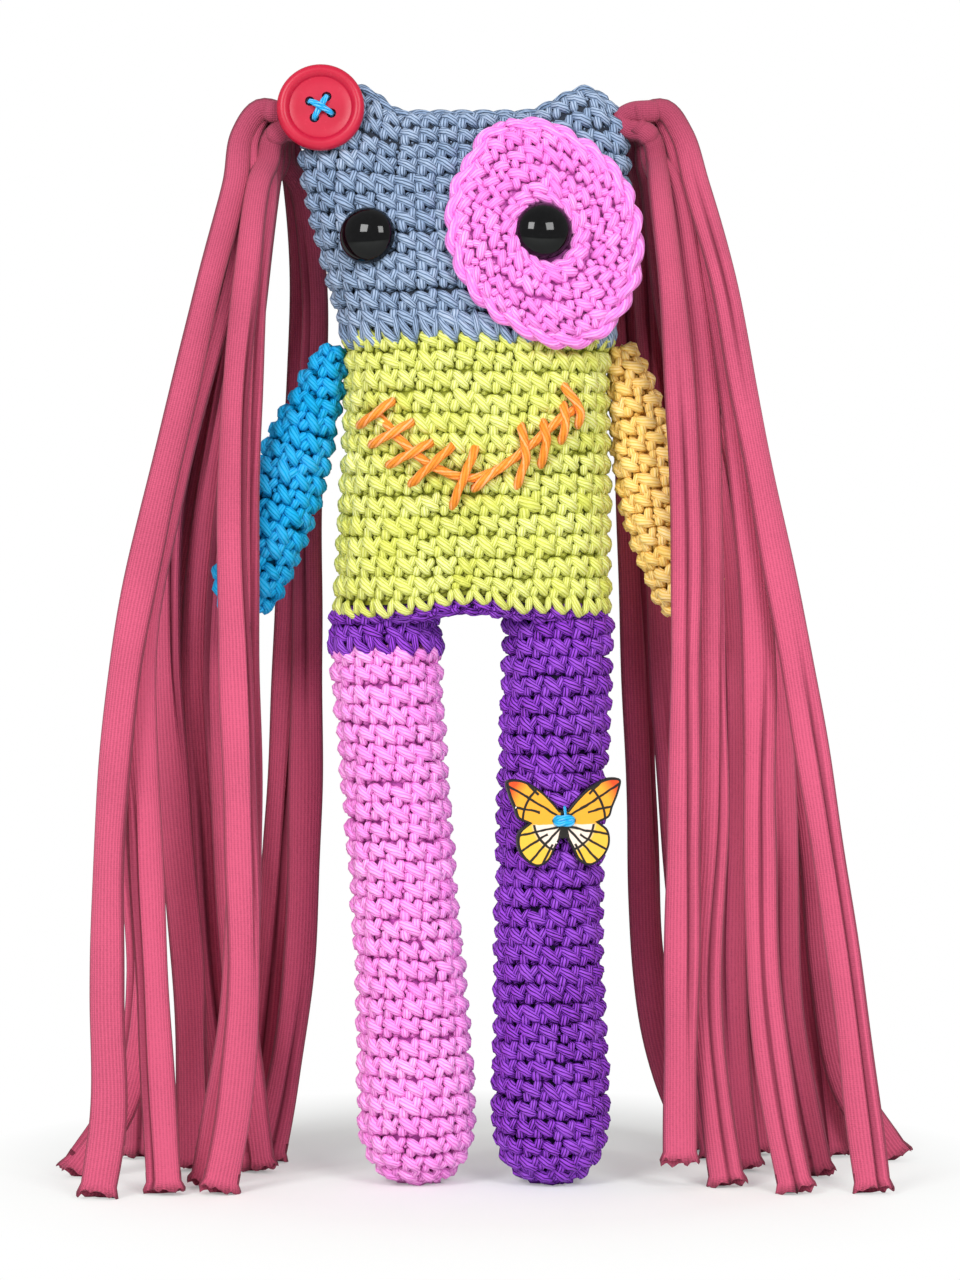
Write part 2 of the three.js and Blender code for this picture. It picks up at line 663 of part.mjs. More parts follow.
// Hair knot: the loops of the strips, side by side along Y
function knotGeometry() {
  const profile = [];
  const perLoop = 3;
  const half = (strips * knotPitch) / 2;
  for (let i = 0; i <= strips * perLoop; i++) {
    const hump = Math.abs(Math.sin((Math.PI * i) / perLoop));
    profile.push(new THREE.Vector2(lerp(knotValley, knotRadius, hump), -half + (i / perLoop) * knotPitch));
  }
  profile.unshift(new THREE.Vector2(0, -half - knotEnd), new THREE.Vector2(knotValley * knotCap, -half - knotEnd));
  profile.push(new THREE.Vector2(knotValley * knotCap, half + knotEnd), new THREE.Vector2(0, half + knotEnd));
  return new THREE.LatheGeometry(profile, 12);
}

// The line that a strand follows, from the knot to the floor
function strandPath(knot, column, [root, places, tipDepth]) {
  const side = Math.sign(places[0]);
  const angle = radians(root);
  const rootDepth = knotBack + (column - (strips - 1) / 2) * knotPitch;
  const start = knotRadius + gap + 0.1;
  const points = [start, start + rootThickness * 1.6].map((reach) => new THREE.Vector3(
    knot[0] + side * reach * Math.cos(angle), rootDepth, knot[1] + reach * Math.sin(angle),
  ));
  places.forEach((x, i) => {
    const height = hairHeights[i];
    const spread = smoothstep(knot[1] - height, rootThickness, knot[1] - columnsOpenAt);
    const settle = smoothstep(settleFrom - height, 0, settleFrom);
    const depth = lerp(lerp(rootDepth, columnDepths[column], spread), tipDepth, settle);
    points.push(new THREE.Vector3(x, depth, height));
  });
  return new THREE.CatmullRomCurve3(points, false, 'centripetal');
}

// A flattened tube of cut jersey, thinner at its root, which never reaches under the floor
function strandGeometry(path) {
  const sides = 8;
  const section = new THREE.Shape(Array.from({ length: sides }, (_, k) => {
    const angle = (2 * Math.PI * (k + 0.5)) / sides;
    return new THREE.Vector2(Math.cos(angle), Math.sin(angle)).multiplyScalar(0.5);
  }));
  const geometry = new THREE.ExtrudeGeometry(section, { steps: strandSteps, depth: 1, bevelEnabled: false });
  const places = geometry.getAttribute('position');
  const length = path.getLength();
  const upright = new THREE.Vector3(0, 1, 0);
  const point = new THREE.Vector3();
  for (let i = 0; i < places.count; i++) {
    const t = THREE.MathUtils.clamp(places.getZ(i), 0, 1);
    const grown = smoothstep(t * length, rootLength, fullLength);
    const tangent = path.getTangentAt(t);
    const across = upright.clone().cross(tangent).normalize();
    const thick = tangent.clone().cross(across);
    path.getPointAt(t, point);
    point.addScaledVector(across, places.getX(i) * lerp(rootWidth, strandWidth, grown));
    point.addScaledVector(thick, places.getY(i) * lerp(rootThickness, strandThickness, grown));
    places.setXYZ(i, point.x, point.y, Math.max(point.z, gap / 2));
  }
  return bare(geometry);
}

function buildPigtail(side, knot, strands) {
  const group = new THREE.Group();
  const loops = named(`hair_knot_${side}`, bare(knotGeometry()), rose);
  loops.position.set(knot[0], knotBack, knot[1]);
  group.add(loops);
  strands.forEach((strand, i) => {
    const path = strandPath(knot, Math.floor(i / 2), strand);
    group.add(named(`hair_${side}_${i + 1}`, strandGeometry(path), rose));
  });
  return group;
}

// Head, torso and what is sewn to them
function buildBody() {
  const outer = solidOf(pouch(0));
  const hollow = solidOf(pouch(skinWall, 1.4));
  let filled = solidOf(pouch(skinWall + gap, 3)).intersect(slab(bandTop + gap / 2, farAbove));
  let head = outer.intersect(slab(neckLine + gap / 2, farAbove)).subtract(hollow);
  let patch = solidOf(patchGeometry());
  const pieces = [];
  for (const [side, place] of [['left', leftEye], ['right', rightEye]]) {
    const { seat, eye, washer, depth } = buildEye(side, place);
    const shankHole = borer(seat, shankRadius + gap, shankLength + gap, 20);
    head = head.subtract(shankHole);
    patch = patch.subtract(shankHole);
    filled = filled.subtract(shankHole);
    filled = filled.subtract(borer(seat, washerRadius + gap, depth + washerThickness + gap, washerRoom - depth));
    pieces.push(eye, washer);
  }
  const torso = outer.intersect(slab(bandTop + gap / 2, neckLine - gap / 2)).subtract(hollow);
  const band = outer.intersect(slab(0, bandTop - gap / 2));
  return [
    named('head_skin', geometryOf(head), headBlue),
    named('torso_skin', geometryOf(torso), lime),
    named('hip_band', geometryOf(band), purple),
    named('body_stuffing', geometryOf(filled), filling),
    named('eye_patch', geometryOf(patch), pink),
    named('mouth_stitching', geometryOf(mouthSolid()), mouthOrange),
    ...pieces,
    ...buildButton(),
  ];
}

const doll = new THREE.Group();
doll.add(
  ...buildBody(),
  ...buildLeg('left', leftLegLevels, pink),
  ...buildLeg('right', rightLegLevels, purple),
  buildButterfly(),
  buildArm('left', blue),
  buildArm('right', orange),
  buildPigtail('left', leftKnot, leftHair),
  buildPigtail('right', rightKnot, rightHair),
);
doll.position.set(standX, standY, 0);

export default doll;
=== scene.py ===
# A crocheted monster doll with hair of jersey yarn, safety eyes, a button, a patch and a butterfly.
# Lengths are in millimetres until a mesh is made. The face looks along -Y.
import math
import bpy
import numpy as np
from mathutils import Matrix, Vector


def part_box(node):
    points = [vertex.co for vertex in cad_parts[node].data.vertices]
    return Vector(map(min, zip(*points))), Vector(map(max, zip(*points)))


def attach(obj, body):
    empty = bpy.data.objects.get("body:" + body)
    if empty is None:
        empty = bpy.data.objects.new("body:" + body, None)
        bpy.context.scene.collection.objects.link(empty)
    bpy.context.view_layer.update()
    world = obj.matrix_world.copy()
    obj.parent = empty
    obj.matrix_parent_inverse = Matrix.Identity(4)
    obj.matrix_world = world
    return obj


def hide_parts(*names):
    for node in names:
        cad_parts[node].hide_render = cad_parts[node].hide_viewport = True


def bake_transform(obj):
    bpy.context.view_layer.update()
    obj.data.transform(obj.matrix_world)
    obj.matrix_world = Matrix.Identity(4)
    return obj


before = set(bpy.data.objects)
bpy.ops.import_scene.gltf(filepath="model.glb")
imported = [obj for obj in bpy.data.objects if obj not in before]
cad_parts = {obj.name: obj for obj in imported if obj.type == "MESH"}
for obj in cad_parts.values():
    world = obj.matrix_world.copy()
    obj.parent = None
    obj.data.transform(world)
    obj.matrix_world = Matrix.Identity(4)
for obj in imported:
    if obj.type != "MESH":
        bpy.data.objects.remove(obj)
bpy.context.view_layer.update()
metre = 0.001
stand = np.array([1.9, 1.9, 0.0])  # the doll's own middle stands here
chance = np.random.default_rng(11)


# Numbers and lines
def softStep(value, low, high):
    share = np.clip((np.asarray(value, float) - low) / (high - low), 0, 1)
    return share * share * (3 - 2 * share)


def unit(vectors):
    return vectors / np.maximum(np.linalg.norm(vectors, axis=-1, keepdims=True), 1e-9)


def curveThrough(points, perSpan=24):
    points = np.asarray(points, float)
    held = np.vstack([2 * points[0] - points[1], points, 2 * points[-1] - points[-2]])
    weight = np.linspace(0, 1, perSpan, endpoint=False)[:, None]
    spans = []
    for a, b, c, d in zip(held, held[1:], held[2:], held[3:]):
        before, here, after = (max(np.linalg.norm(q - p), 1e-6) ** 0.5 for p, q in ((a, b), (b, c), (c, d)))
        leave = ((b - a) / before - (c - a) / (before + here) + (c - b) / here) * here
        arrive = ((c - b) / here - (d - b) / (here + after) + (d - c) / after) * here
        spans.append(b + leave * weight + (3 * (c - b) - 2 * leave - arrive) * weight ** 2
                     + (2 * (b - c) + leave + arrive) * weight ** 3)
    return np.vstack([*spans, points[-1:]])


def lineLengths(points):
    return np.concatenate([[0], np.cumsum(np.linalg.norm(np.diff(points, axis=0), axis=1))])


def pointsAt(places, along, points):
    return np.stack([np.interp(places, along, points[:, k]) for k in range(points.shape[1])], axis=1)


def evenLine(points, count):
    along = lineLengths(points)
    return pointsAt(np.linspace(0, along[-1], count), along, points)


def levelAt(levels, height):
    return [np.interp(height, levels[:, 0], levels[:, k]) for k in range(1, levels.shape[1])]


def lineFrame(line, reference):
    tangent = unit(np.gradient(line, axis=0))
    across = unit(np.cross(np.broadcast_to(reference, line.shape), tangent))
    return tangent, across, np.cross(tangent, across)


def circle(count, start=0.0):
    return start + 2 * math.pi * np.arange(count) / count


def tube(line, across, up, wide, high, angle):
    # a ring of points round each point of a line
    return (line[:, None] + across[:, None] * (wide * np.cos(angle))[..., None]
            + up[:, None] * (high * np.sin(angle))[..., None])


# Meshes: a fabric gathers points and faces, with a yarn UV and a tone for each point
def newFabric():
    return {"points": [], "tones": [], "faces": [], "count": 0}


def addPart(fabric, points, tones, faces):
    fabric["points"].append(points)
    fabric["tones"].append(np.broadcast_to(tones, len(points)))
    for corners, places in faces:
        fabric["faces"].append((corners + fabric["count"], places))
    fabric["count"] += len(points)


def ringFaces(rows, sides, lengths):
    row, side = (grid.ravel() for grid in np.meshgrid(np.arange(rows - 1), np.arange(sides), indexing="ij"))
    after = (side + 1) % sides
    corners = np.stack([row * sides + side, row * sides + after, (row + 1) * sides + after,
                        (row + 1) * sides + side], axis=1)
    around = np.stack([side, side + 1, side + 1, side], axis=1) / sides
    along = np.stack([lengths[row], lengths[row], lengths[row + 1], lengths[row + 1]], axis=1)
    return corners, np.stack([around, along], axis=2)


def capFaces(sides, start, facesBack):
    # a strip of faces from the left half of a ring to the right half
    half, quarter = sides // 2, sides // 4
    whole = [[j, j + 1, half - j - 1, half - j] for j in range(1 - quarter, quarter - 1)]
    ends = [[quarter - 1, quarter, quarter + 1], [3 * quarter, 3 * quarter + 1, 3 * quarter - 1]]
    faces = []
    for group in (whole, ends):
        corners = np.array(group) % sides
        if facesBack:
            corners = corners[:, ::-1]
        faces.append((corners + start, np.zeros((*corners.shape, 2))))
    return faces


def addRings(fabric, rings, tones=1.0, lengths=None):
    rows, sides = rings.shape[:2]
    if lengths is None:
        lengths = lineLengths(rings.mean(axis=1))
    faces = [ringFaces(rows, sides, lengths), *capFaces(sides, 0, True)]
    faces += capFaces(sides, (rows - 1) * sides, False)
    addPart(fabric, rings.reshape(-1, 3), np.broadcast_to(tones, (rows, sides)).ravel(), faces)


def addYarn(fabric, points, radius, spacing=0.8, sides=12, plies=3, twist=7.0, tone=1.0,
            reference=(0, -1, 0)):
    # round yarn whose plies show in its shape, with painted shade where it dips between them
    smooth = curveThrough(points)
    line = evenLine(smooth, max(5, int(lineLengths(smooth)[-1] / spacing)))
    along = lineLengths(line)
    _, across, up = lineFrame(line, reference)
    angle = circle(sides)
    lobes = 1 + 0.11 * np.cos(plies * angle + 2 * math.pi * along[:, None] / twist)
    ends = np.minimum(1, 0.45 + np.minimum(along, along[-1] - along) / (1.2 * radius))[:, None]
    reach = radius * lobes * ends
    tones = tone * (0.78 + 0.22 * softStep(lobes, 0.9, 1.08))
    addRings(fabric, tube(line, across, up, reach, reach, angle), tones, along)


def putInScene(name, data):
    made = bpy.data.objects.new(name, data)
    bpy.context.scene.collection.objects.link(made)
    return made


def finishFabric(fabric, name, material):
    points = np.vstack(fabric["points"]) + stand
    points[:, 2] = np.maximum(points[:, 2], 0.05)  # nothing reaches under the floor
    mesh = bpy.data.meshes.new(name)
    mesh.vertices.add(len(points))
    mesh.vertices.foreach_set("co", (points * metre).astype(np.float32).ravel())
    sizes = np.concatenate([np.full(len(corners), corners.shape[1]) for corners, _ in fabric["faces"]])
    corners = np.concatenate([corners.ravel() for corners, _ in fabric["faces"]])
    places = np.concatenate([places.reshape(-1, 2) for _, places in fabric["faces"]])
    mesh.loops.add(len(corners))
    mesh.loops.foreach_set("vertex_index", corners.astype(np.int32))
    mesh.polygons.add(len(sizes))
    starts = np.concatenate([[0], np.cumsum(sizes)[:-1]])
    mesh.polygons.foreach_set("loop_start", starts.astype(np.int32))
    mesh.update(calc_edges=True)
    mesh.polygons.foreach_set("use_smooth", np.ones(len(sizes), bool))
    uv = mesh.uv_layers.new(name="yarn")
    uv.data.foreach_set("uv", places.astype(np.float32).ravel())
    tone = mesh.attributes.new("tone", "FLOAT", "POINT")
    tone.data.foreach_set("value", np.concatenate(fabric["tones"]).astype(np.float32))
    mesh.materials.append(material)
    return putInScene(name, mesh)


# Materials
def linear(colour):
    parts = [int(colour[k:k + 2], 16) / 255 for k in (1, 3, 5)]
    return tuple(((p + 0.055) / 1.055) ** 2.4 if p > 0.04045 else p / 12.92 for p in parts) + (1.0,)


class Nodes:
    # a short way to write a material's nodes
    def __init__(self, name, **shader):
        self.material = bpy.data.materials.new(name)
        self.material.use_nodes = True
        self.tree = self.material.node_tree
        self.shader = self.tree.nodes["Principled BSDF"]
        for socket, value in shader.items():
            self.shader.inputs[socket.replace("_", " ")].default_value = value

    def add(self, kind, outputs=0, settings=None, **inputs):
        node = self.tree.nodes.new(kind)
        for name, value in (settings or {}).items():
            setattr(node, name, value)
        for name, value in inputs.items():
            socket = int(name[1:]) if name[1:].isdigit() else name.replace("_", " ")
            self.feed(node.inputs[socket], value)
        return node.outputs[outputs]

    def feed(self, socket, value):
        if isinstance(value, bpy.types.NodeSocket):
            self.tree.links.new(value, socket)
        else:
            socket.default_value = linear(value) if isinstance(value, str) else value

    def math(self, operation, a, b=0.0, c=0.0):
        return self.add("ShaderNodeMath", settings={"operation": operation}, i0=a, i1=b, i2=c)

    def times(self, a, b):
        return self.math("MULTIPLY", a, b)

    def less(self, a, b):
        return self.math("SUBTRACT", a, b)

    def noise(self, scale, detail, roughness=0.5, at=None):
        at = self.objectPlaces() if at is None else at
        return self.add("ShaderNodeTexNoise", Vector=at, Scale=scale, Detail=detail, Roughness=roughness)

    def mix(self, factor, a, b):
        return self.add("ShaderNodeMix", 2, {"data_type": "RGBA"}, i0=factor, i6=a, i7=b)

    def span(self, value, low, high, toLow=0.0, toHigh=1.0):
        return self.add("ShaderNodeMapRange", Value=value, From_Min=low, From_Max=high,
                        To_Min=toLow, To_Max=toHigh)

    def bump(self, height, distance, strength):
        return self.add("ShaderNodeBump", Height=height, Distance=distance * metre, Strength=strength)

    def paint(self, colour, normal=None):
        self.feed(self.shader.inputs["Base Color"], colour)
        if normal is not None:
            self.feed(self.shader.inputs["Normal"], normal)
        return self.material

    def yarnPlaces(self):
        # share of a turn around the yarn, and millimetres along it
        uv = self.add("ShaderNodeUVMap", settings={"uv_map": "yarn"})
        split = self.add("ShaderNodeSeparateXYZ", 0, None, Vector=uv).node
        return split.outputs[0], split.outputs[1]

    def tone(self):
        return self.add("ShaderNodeAttribute", 2, {"attribute_name": "tone"})

    def objectPlaces(self):
        return self.add("ShaderNodeTexCoord", 3)

    def placesFrom(self, point):
        settings = {"operation": "SUBTRACT"}
        return self.add("ShaderNodeVectorMath", 0, settings, i0=self.objectPlaces(), i1=point)


def yarnFinish(name, colour, deep, plies=9, twist=34.0, sheen=0.03, gloss=0.3, shine=0.25, dark=0.2,
               groove=0.26):
    # plies that wind round the yarn, with painted shade in the narrow grooves between them and a painted
    # highlight of white on their crowns, and fibres that run along it
    n = Nodes(name, Roughness=0.6, Sheen_Weight=sheen, Sheen_Roughness=0.45, Specular_IOR_Level=shine)
    around, along = n.yarnPlaces()
    turns = n.math("MULTIPLY_ADD", along, 1 / twist, around)
    fibreAt = n.add("ShaderNodeCombineXYZ", X=n.times(turns, 14.0), Y=n.times(along, 0.3))
    fibre = n.noise(2.2, 3.0, 0.6, fibreAt)
    wander = n.noise(300.0, 1.0)
    bent = n.math("MULTIPLY_ADD", wander, 1.6, n.times(turns, 2 * math.pi * plies))
    ply = n.span(n.math("SINE", bent), -1.0, -0.1)
    cloud = n.noise(60.0, 2.0)
    height = n.math("MULTIPLY_ADD", fibre, 0.5, n.times(ply, 0.7))
    fleck = n.span(fibre, 0.2, 0.8, 0.92 - groove, 1.18 - groove)
    # painted shade: the grooves between the plies are darker by groove, and the tone attribute brings more
    # painted shade
    fine = n.times(n.tone(), n.math("MULTIPLY_ADD", ply, groove, fleck))
    light = n.times(fine, n.span(cloud, 0.3, 0.7, 0.94, 1.06))
    body = n.mix(n.span(light, dark, 1.0), deep, colour)
    # painted highlight: white is mixed in where the plies stand highest
    highlightedColour = n.mix(n.span(fine, 0.9, 1.2, 0.0, gloss), body, (1.0, 1.0, 1.0, 1.0))
    return n.paint(highlightedColour, n.bump(height, 0.22, 0.9))


def jerseyFinish(name, colour, deep, ribs, loopPitch):
    n = Nodes(name, Roughness=0.85, Sheen_Weight=0.08, Sheen_Roughness=0.5, Specular_IOR_Level=0.2)
    around, along = n.yarnPlaces()
    wander = n.noise(90.0, 1.0)
    ribbed = n.math("SINE", n.math("MULTIPLY_ADD", around, 2 * math.pi * ribs, n.times(wander, 1.6)))
    loops = n.math("SINE", n.times(along, 2 * math.pi / loopPitch))
    grain = n.noise(1700.0, 2.0)
    knit = n.math("MULTIPLY_ADD", loops, 0.3, n.math("MULTIPLY_ADD", grain, 1.9, n.times(ribbed, 0.7)))
    cloud = n.noise(45.0, 2.0)
    # painted shade: the rib valleys and loop gaps are darker and the tone brings the strand's painted shade;
    # the grain and cloud are the jersey's own unevenness
    tint = n.times(n.span(knit, -0.1, 1.95, 0.68, 1.12), n.span(cloud, 0.3, 0.7, 0.93, 1.07))
    return n.paint(n.mix(n.times(n.tone(), tint), deep, colour), n.bump(knit, 0.1, 0.8))


def stuffingFinish():
    n = Nodes("stuffing_fibre", Roughness=0.95, Sheen_Weight=0.2, Specular_IOR_Level=0.1)
    wool = n.noise(420.0, 6.0, 0.7)
    return n.paint(n.mix(wool, "#d9d6cc", "#fbfaf4"), n.bump(wool, 0.8, 0.8))


# the second colour of each finish is the darker one reached where tone, grooves and fibres are darkest:
# mostly painted shade, partly the yarn's own unevenness
finishes = {
    "hair_jersey": jerseyFinish("hair_jersey_rose", "#cb5575", "#4a0a1e", ribs=30, loopPitch=0.62),
    "yarn_grey_blue": yarnFinish("head_yarn", "#7f98ba", "#1c2432", gloss=0.24, dark=0.54, groove=0.38),
    "yarn_lime": yarnFinish("torso_yarn", "#d5d85b", "#868a18"),
    "yarn_purple": yarnFinish("purple_yarn", "#9036ca", "#160030", gloss=0.06, sheen=0.0, shine=0.15,
                               dark=0.6, groove=0.42),
    "yarn_pink": yarnFinish("pink_yarn", "#fa8ce4", "#b044a4"),
    "yarn_blue": yarnFinish("blue_yarn", "#00a4e0", "#003a5e", gloss=0.06, sheen=0.0, shine=0.1),
    "yarn_amber": yarnFinish("amber_yarn", "#ffd46a", "#d8983e"),
    "yarn_mouth_orange": yarnFinish("mouth_yarn", "#fa942c", "#a04a08", plies=7, twist=24.0),
    "thread_cyan": yarnFinish("cyan_thread", "#1cb0f0", "#0a5c8c", plies=5, twist=16.0),
    "stuffing": stuffingFinish(),
}


def claim(piece, bodies, node):
    # attaches a piece to the body that it moves with, or where a bend is given only fixes its place in its
    # mesh, and hides the CAD node that it stands for
    if isinstance(bodies, str):
        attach(piece, bodies)
    else:
        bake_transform(piece)
    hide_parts(node)


def finishPiece(fabric, name, slot, bodies, node):
    piece = finishFabric(fabric, name, finishes[slot])
    claim(piece, bodies, node)
    return piece


def fillWith(rings, name, bodies, node):
    fabric = newFabric()
    addRings(fabric, rings)
    finishPiece(fabric, name, "stuffing", bodies, node)


# Forms that are crocheted over: rings of points, from low to high or from a pole outwards
def evenRing(ring, count):
    closed = np.vstack([ring, ring[:1]])
    along = lineLengths(closed)
    return pointsAt(np.linspace(0, along[-1], count, endpoint=False), along, closed), along[-1]


def makeForm(rings, columns):
    evened = [evenRing(np.asarray(ring, float), columns) for ring in rings]
    grid = np.array([ring for ring, _ in evened])
    along = np.concatenate([[0], np.cumsum(np.linalg.norm(np.diff(grid, axis=0), axis=2).mean(axis=1))])
    right = np.roll(grid, -1, axis=1) - np.roll(grid, 1, axis=1)
    out = unit(np.cross(right, np.gradient(grid, along, axis=0)))
    return {"grid": grid, "out": out, "along": along, "around": np.array([length for _, length in evened])}


def formAt(form, along, turn):
    last = len(form["along"]) - 1
    row = np.interp(along, form["along"], np.arange(last + 1))
    steps = np.diff(form["along"])
    row = row + np.minimum(along, 0) / steps[0] + np.maximum(along - form["along"][-1], 0) / steps[-1]
    low = np.clip(row.astype(int), 0, last - 1)
    columns = form["grid"].shape[1]
    column = (turn % 1) * columns
    left = column.astype(int) % columns
    right = (left + 1) % columns
    a = (row - low)[..., None]
    b = (column - np.floor(column))[..., None]
    spots = [(form[k][low, left] * (1 - b) + form[k][low, right] * b) * (1 - a)
             + (form[k][low + 1, left] * (1 - b) + form[k][low + 1, right] * b) * a
             for k in ("grid", "out")]
    return spots[0], unit(spots[1])


def aroundAt(form, along):
    return float(np.interp(along, form["along"], form["around"]))


# Stitches: strands drawn on one cell that is 1 wide and 1 high, x to the right, y up, h outwards
stitch = {
    "pitch": 6.2, "rowHeight": 5.9,  # a cell in millimetres
    "sides": 6,
    "sink": 2.3,  # the middles of the strands lie this far under the form's outline
    "groundDepth": 2.8,  # and the ground between them this far
    "inset": 0.6,  # the stitches of a round are counted this far inside the outline
    "roundness": 0.08,  # each row is rounded by this much, in cells
    "wander": 0.042, "turned": 0.1, "grown": 0.05,  # how unevenly they are made
    "wave": 0.06, "ripple": 0.03,  # how far a row wanders up and down
    "toneSpread": 0.04,
}
# a long plump strand, a short one from the top right, the loop below them, the bit of yarn to the next
# cell, and a strand that lies across underneath
crossStrands = [
    ([(-0.50, 0.47, -0.10), (-0.31, 0.31, 0.13), (-0.04, 0.06, 0.22), (0.21, -0.17, 0.20),
      (0.40, -0.37, -0.02)], 0.282),
    ([(0.43, 0.58, -0.10), (0.37, 0.36, 0.12), (0.27, 0.14, 0.12), (0.12, -0.07, -0.04)], 0.235),
    ([(-0.20, 0.02, -0.02), (-0.30, -0.16, 0.11), (-0.35, -0.34, 0.12), (-0.37, -0.56, -0.06)], 0.27),
    ([(0.34, 0.10, -0.05), (0.52, 0.0, 0.0), (0.70, -0.12, -0.06)], 0.145),
    ([(-0.30, -0.52, -0.17), (0.05, -0.46, -0.11), (0.40, -0.44, -0.17)], 0.19),
]
# the last stitches over another colour: a loop that hangs down
hangingStrands = [
    ([(-0.45, 0.50, -0.06), (-0.32, 0.14, 0.14), (-0.06, -0.20, 0.20), (0.20, -0.42, 0.16),
      (0.34, -0.50, -0.02)], 0.215),
    ([(0.42, 0.52, -0.06), (0.41, 0.20, 0.10), (0.38, -0.14, 0.13), (0.30, -0.46, 0.02)], 0.19),
]


def stitchKind(strands):
    points, corners, places, caps = [], [], [], []
    sides = stitch["sides"]
    for path, radius in strands:
        rings = len(path)
        line = evenLine(curveThrough(path, 8), rings)
        _, across, up = lineFrame(line, (0, 0, 1))
        reach = (radius * (0.42 + 0.62 * np.sin(math.pi * np.linspace(0, 1, rings)) ** 0.75))[:, None]
        start = sum(map(len, points))
        quads = ringFaces(rings, sides, lineLengths(line) * stitch["pitch"])
        points.append(tube(line, across, up, reach, reach, circle(sides)).reshape(-1, 3))
        corners.append(quads[0] + start)
        places.append(quads[1])
        ends = np.arange(sides) + start
        caps += [ends[::-1], ends + (rings - 1) * sides]
    points = np.vstack(points)
    caps = np.array(caps)
    faces = [(np.vstack(corners), np.vstack(places)), (caps, np.zeros((*caps.shape, 2)))]
    # painted shade: the parts of each strand that lie lower are darker
    return {"points": points, "tones": 0.55 + 0.45 * softStep(points[:, 2], -0.2, 0.14), "faces": faces}


kinds = {"cross": stitchKind(crossStrands), "hanging": stitchKind(hangingStrands)}


def layRow(fabric, form, kind, along, height, count, shift=0.0, tone=1.0, sink=stitch["sink"]):
    shape = kinds[kind]
    points = shape["points"]
    wander = chance.normal(0, stitch["wander"], (count, 2, 1))
    turned = chance.normal(0, stitch["turned"], (count, 1))
    grown = 1 + chance.normal(0, stitch["grown"], (count, 1))
    x = (points[:, 0] - points[:, 1] * turned) * grown + wander[:, 0]
    y = (points[:, 1] + points[:, 0] * turned) * grown + wander[:, 1]
    turn = (np.arange(count)[:, None] + 0.5 + shift + x) / count
    y = y + stitch["wave"] * np.sin(2 * math.pi * (2 * turn + chance.random()))
    y = y + stitch["ripple"] * np.sin(2 * math.pi * 5 * turn)
    places, out = formAt(form, along + y * height, turn)
    lift = points[:, 2] + stitch["roundness"] * np.cos(math.pi * points[:, 1])
    lift = lift * grown * stitch["pitch"] - sink
    places = (places + out * lift[..., None]).reshape(-1, 3)
    tones = shape["tones"] * (1 + chance.normal(0, stitch["toneSpread"], (count, 1))) * tone
    offset = np.stack([np.zeros(count), chance.uniform(0, 40, count)], axis=1)[:, None, None]
    faces = []
    for corners, uvs in shape["faces"]:
        spread = corners[None] + np.arange(count)[:, None, None] * len(points)
        moved = uvs[None] + offset
        faces.append((spread.reshape(-1, corners.shape[1]), moved.reshape(-1, *uvs.shape[1:])))
    addPart(fabric, places, tones.ravel(), faces)


# the ground: the form's surface under the stitches, darkened by a low tone as painted shade in the gaps
# between them
def layGround(fabric, form, tone=0.3, depth=stitch["groundDepth"]):
    deep = np.broadcast_to(depth, len(form["along"]))
    addRings(fabric, form["grid"] - form["out"] * deep[:, None, None], tone, form["along"])


def crochet(fabric, form, start, stop, rows, lean=0.0, tight=1.0, sink=stitch["sink"], tone=1.0):
    height = (stop - start) / rows
    for k in range(rows):
        along = start + (k + 0.5) * height
        counted = aroundAt(form, along) - 2 * math.pi * stitch["inset"]
        stitches = max(5, round(counted / stitch["pitch"] * tight))
        layRow(fabric, form, "cross", along, height, stitches, shift=lean * k, sink=sink, tone=tone)


# The pouch of head and torso, as in the CAD source: height, left side, right side, half depth
pouchLevels = np.array([
    [168.3, -41.5, 36, 19], [170.3, -43.6, 37.8, 21.6], [174, -44, 38, 22.3], [195, -43, 37.8, 22.8],
    [220, -41.6, 37.6, 23], [246, -40.4, 37.4, 22.6], [256, -41.4, 39, 22], [270, -45.8, 41.6, 21],
    [284, -49.4, 43.2, 19], [296, -52.8, 43.8, 15.6], [307, -54.8, 43.8, 11.4], [315, -55, 43, 7.6],
    [320, -53.6, 41.2, 4.8], [321.8, -51.6, 39, 3]])
pouchBottom, pouchTop = pouchLevels[0, 0], pouchLevels[-1, 0]
pouchRoundness = 2.7
cornerRise, cornerStart = 7.6, 292
leftCorner, rightCorner, earRound = (0.38, 0.68), (0.4, 0.86), 0.5
neckLine = 256.5


def cornerShape(u):
    return softStep(-u, *leftCorner) + softStep(u, *rightCorner) - earRound * softStep(u, 0.8, 1)


def riseAt(height):
    return cornerRise * np.maximum(0, (height - cornerStart) / (pouchTop - cornerStart)) ** 1.5


def pouchRing(height, inset=0.0):
    left, right, depth = levelAt(pouchLevels, height)
    angle = circle(240, math.pi / 2)  # from the back, by the left
    c, s = np.cos(angle), np.sin(angle)
    u = np.sign(c) * np.abs(c) ** (2 / pouchRoundness)
    v = np.sign(s) * np.abs(s) ** (2 / pouchRoundness)
    return np.stack([(left + right) / 2 + ((right - left) / 2 - inset) * u, (depth - inset) * v,
                     height + riseAt(height) * cornerShape(u)], axis=1)


def frontDepth(x, height, reach=1.0):
    x, height = np.broadcast_arrays(np.asarray(x, float), np.asarray(height, float))
    level = height
    for _ in range(4):
        left, right, depth = levelAt(pouchLevels, level)
        u = np.clip((x - (left + right) / 2) / ((right - left) / 2), -reach, reach)
        level = height - riseAt(level) * cornerShape(u)
    return depth * np.maximum(0, 1 - np.abs(u) ** pouchRoundness) ** (1 / pouchRoundness)


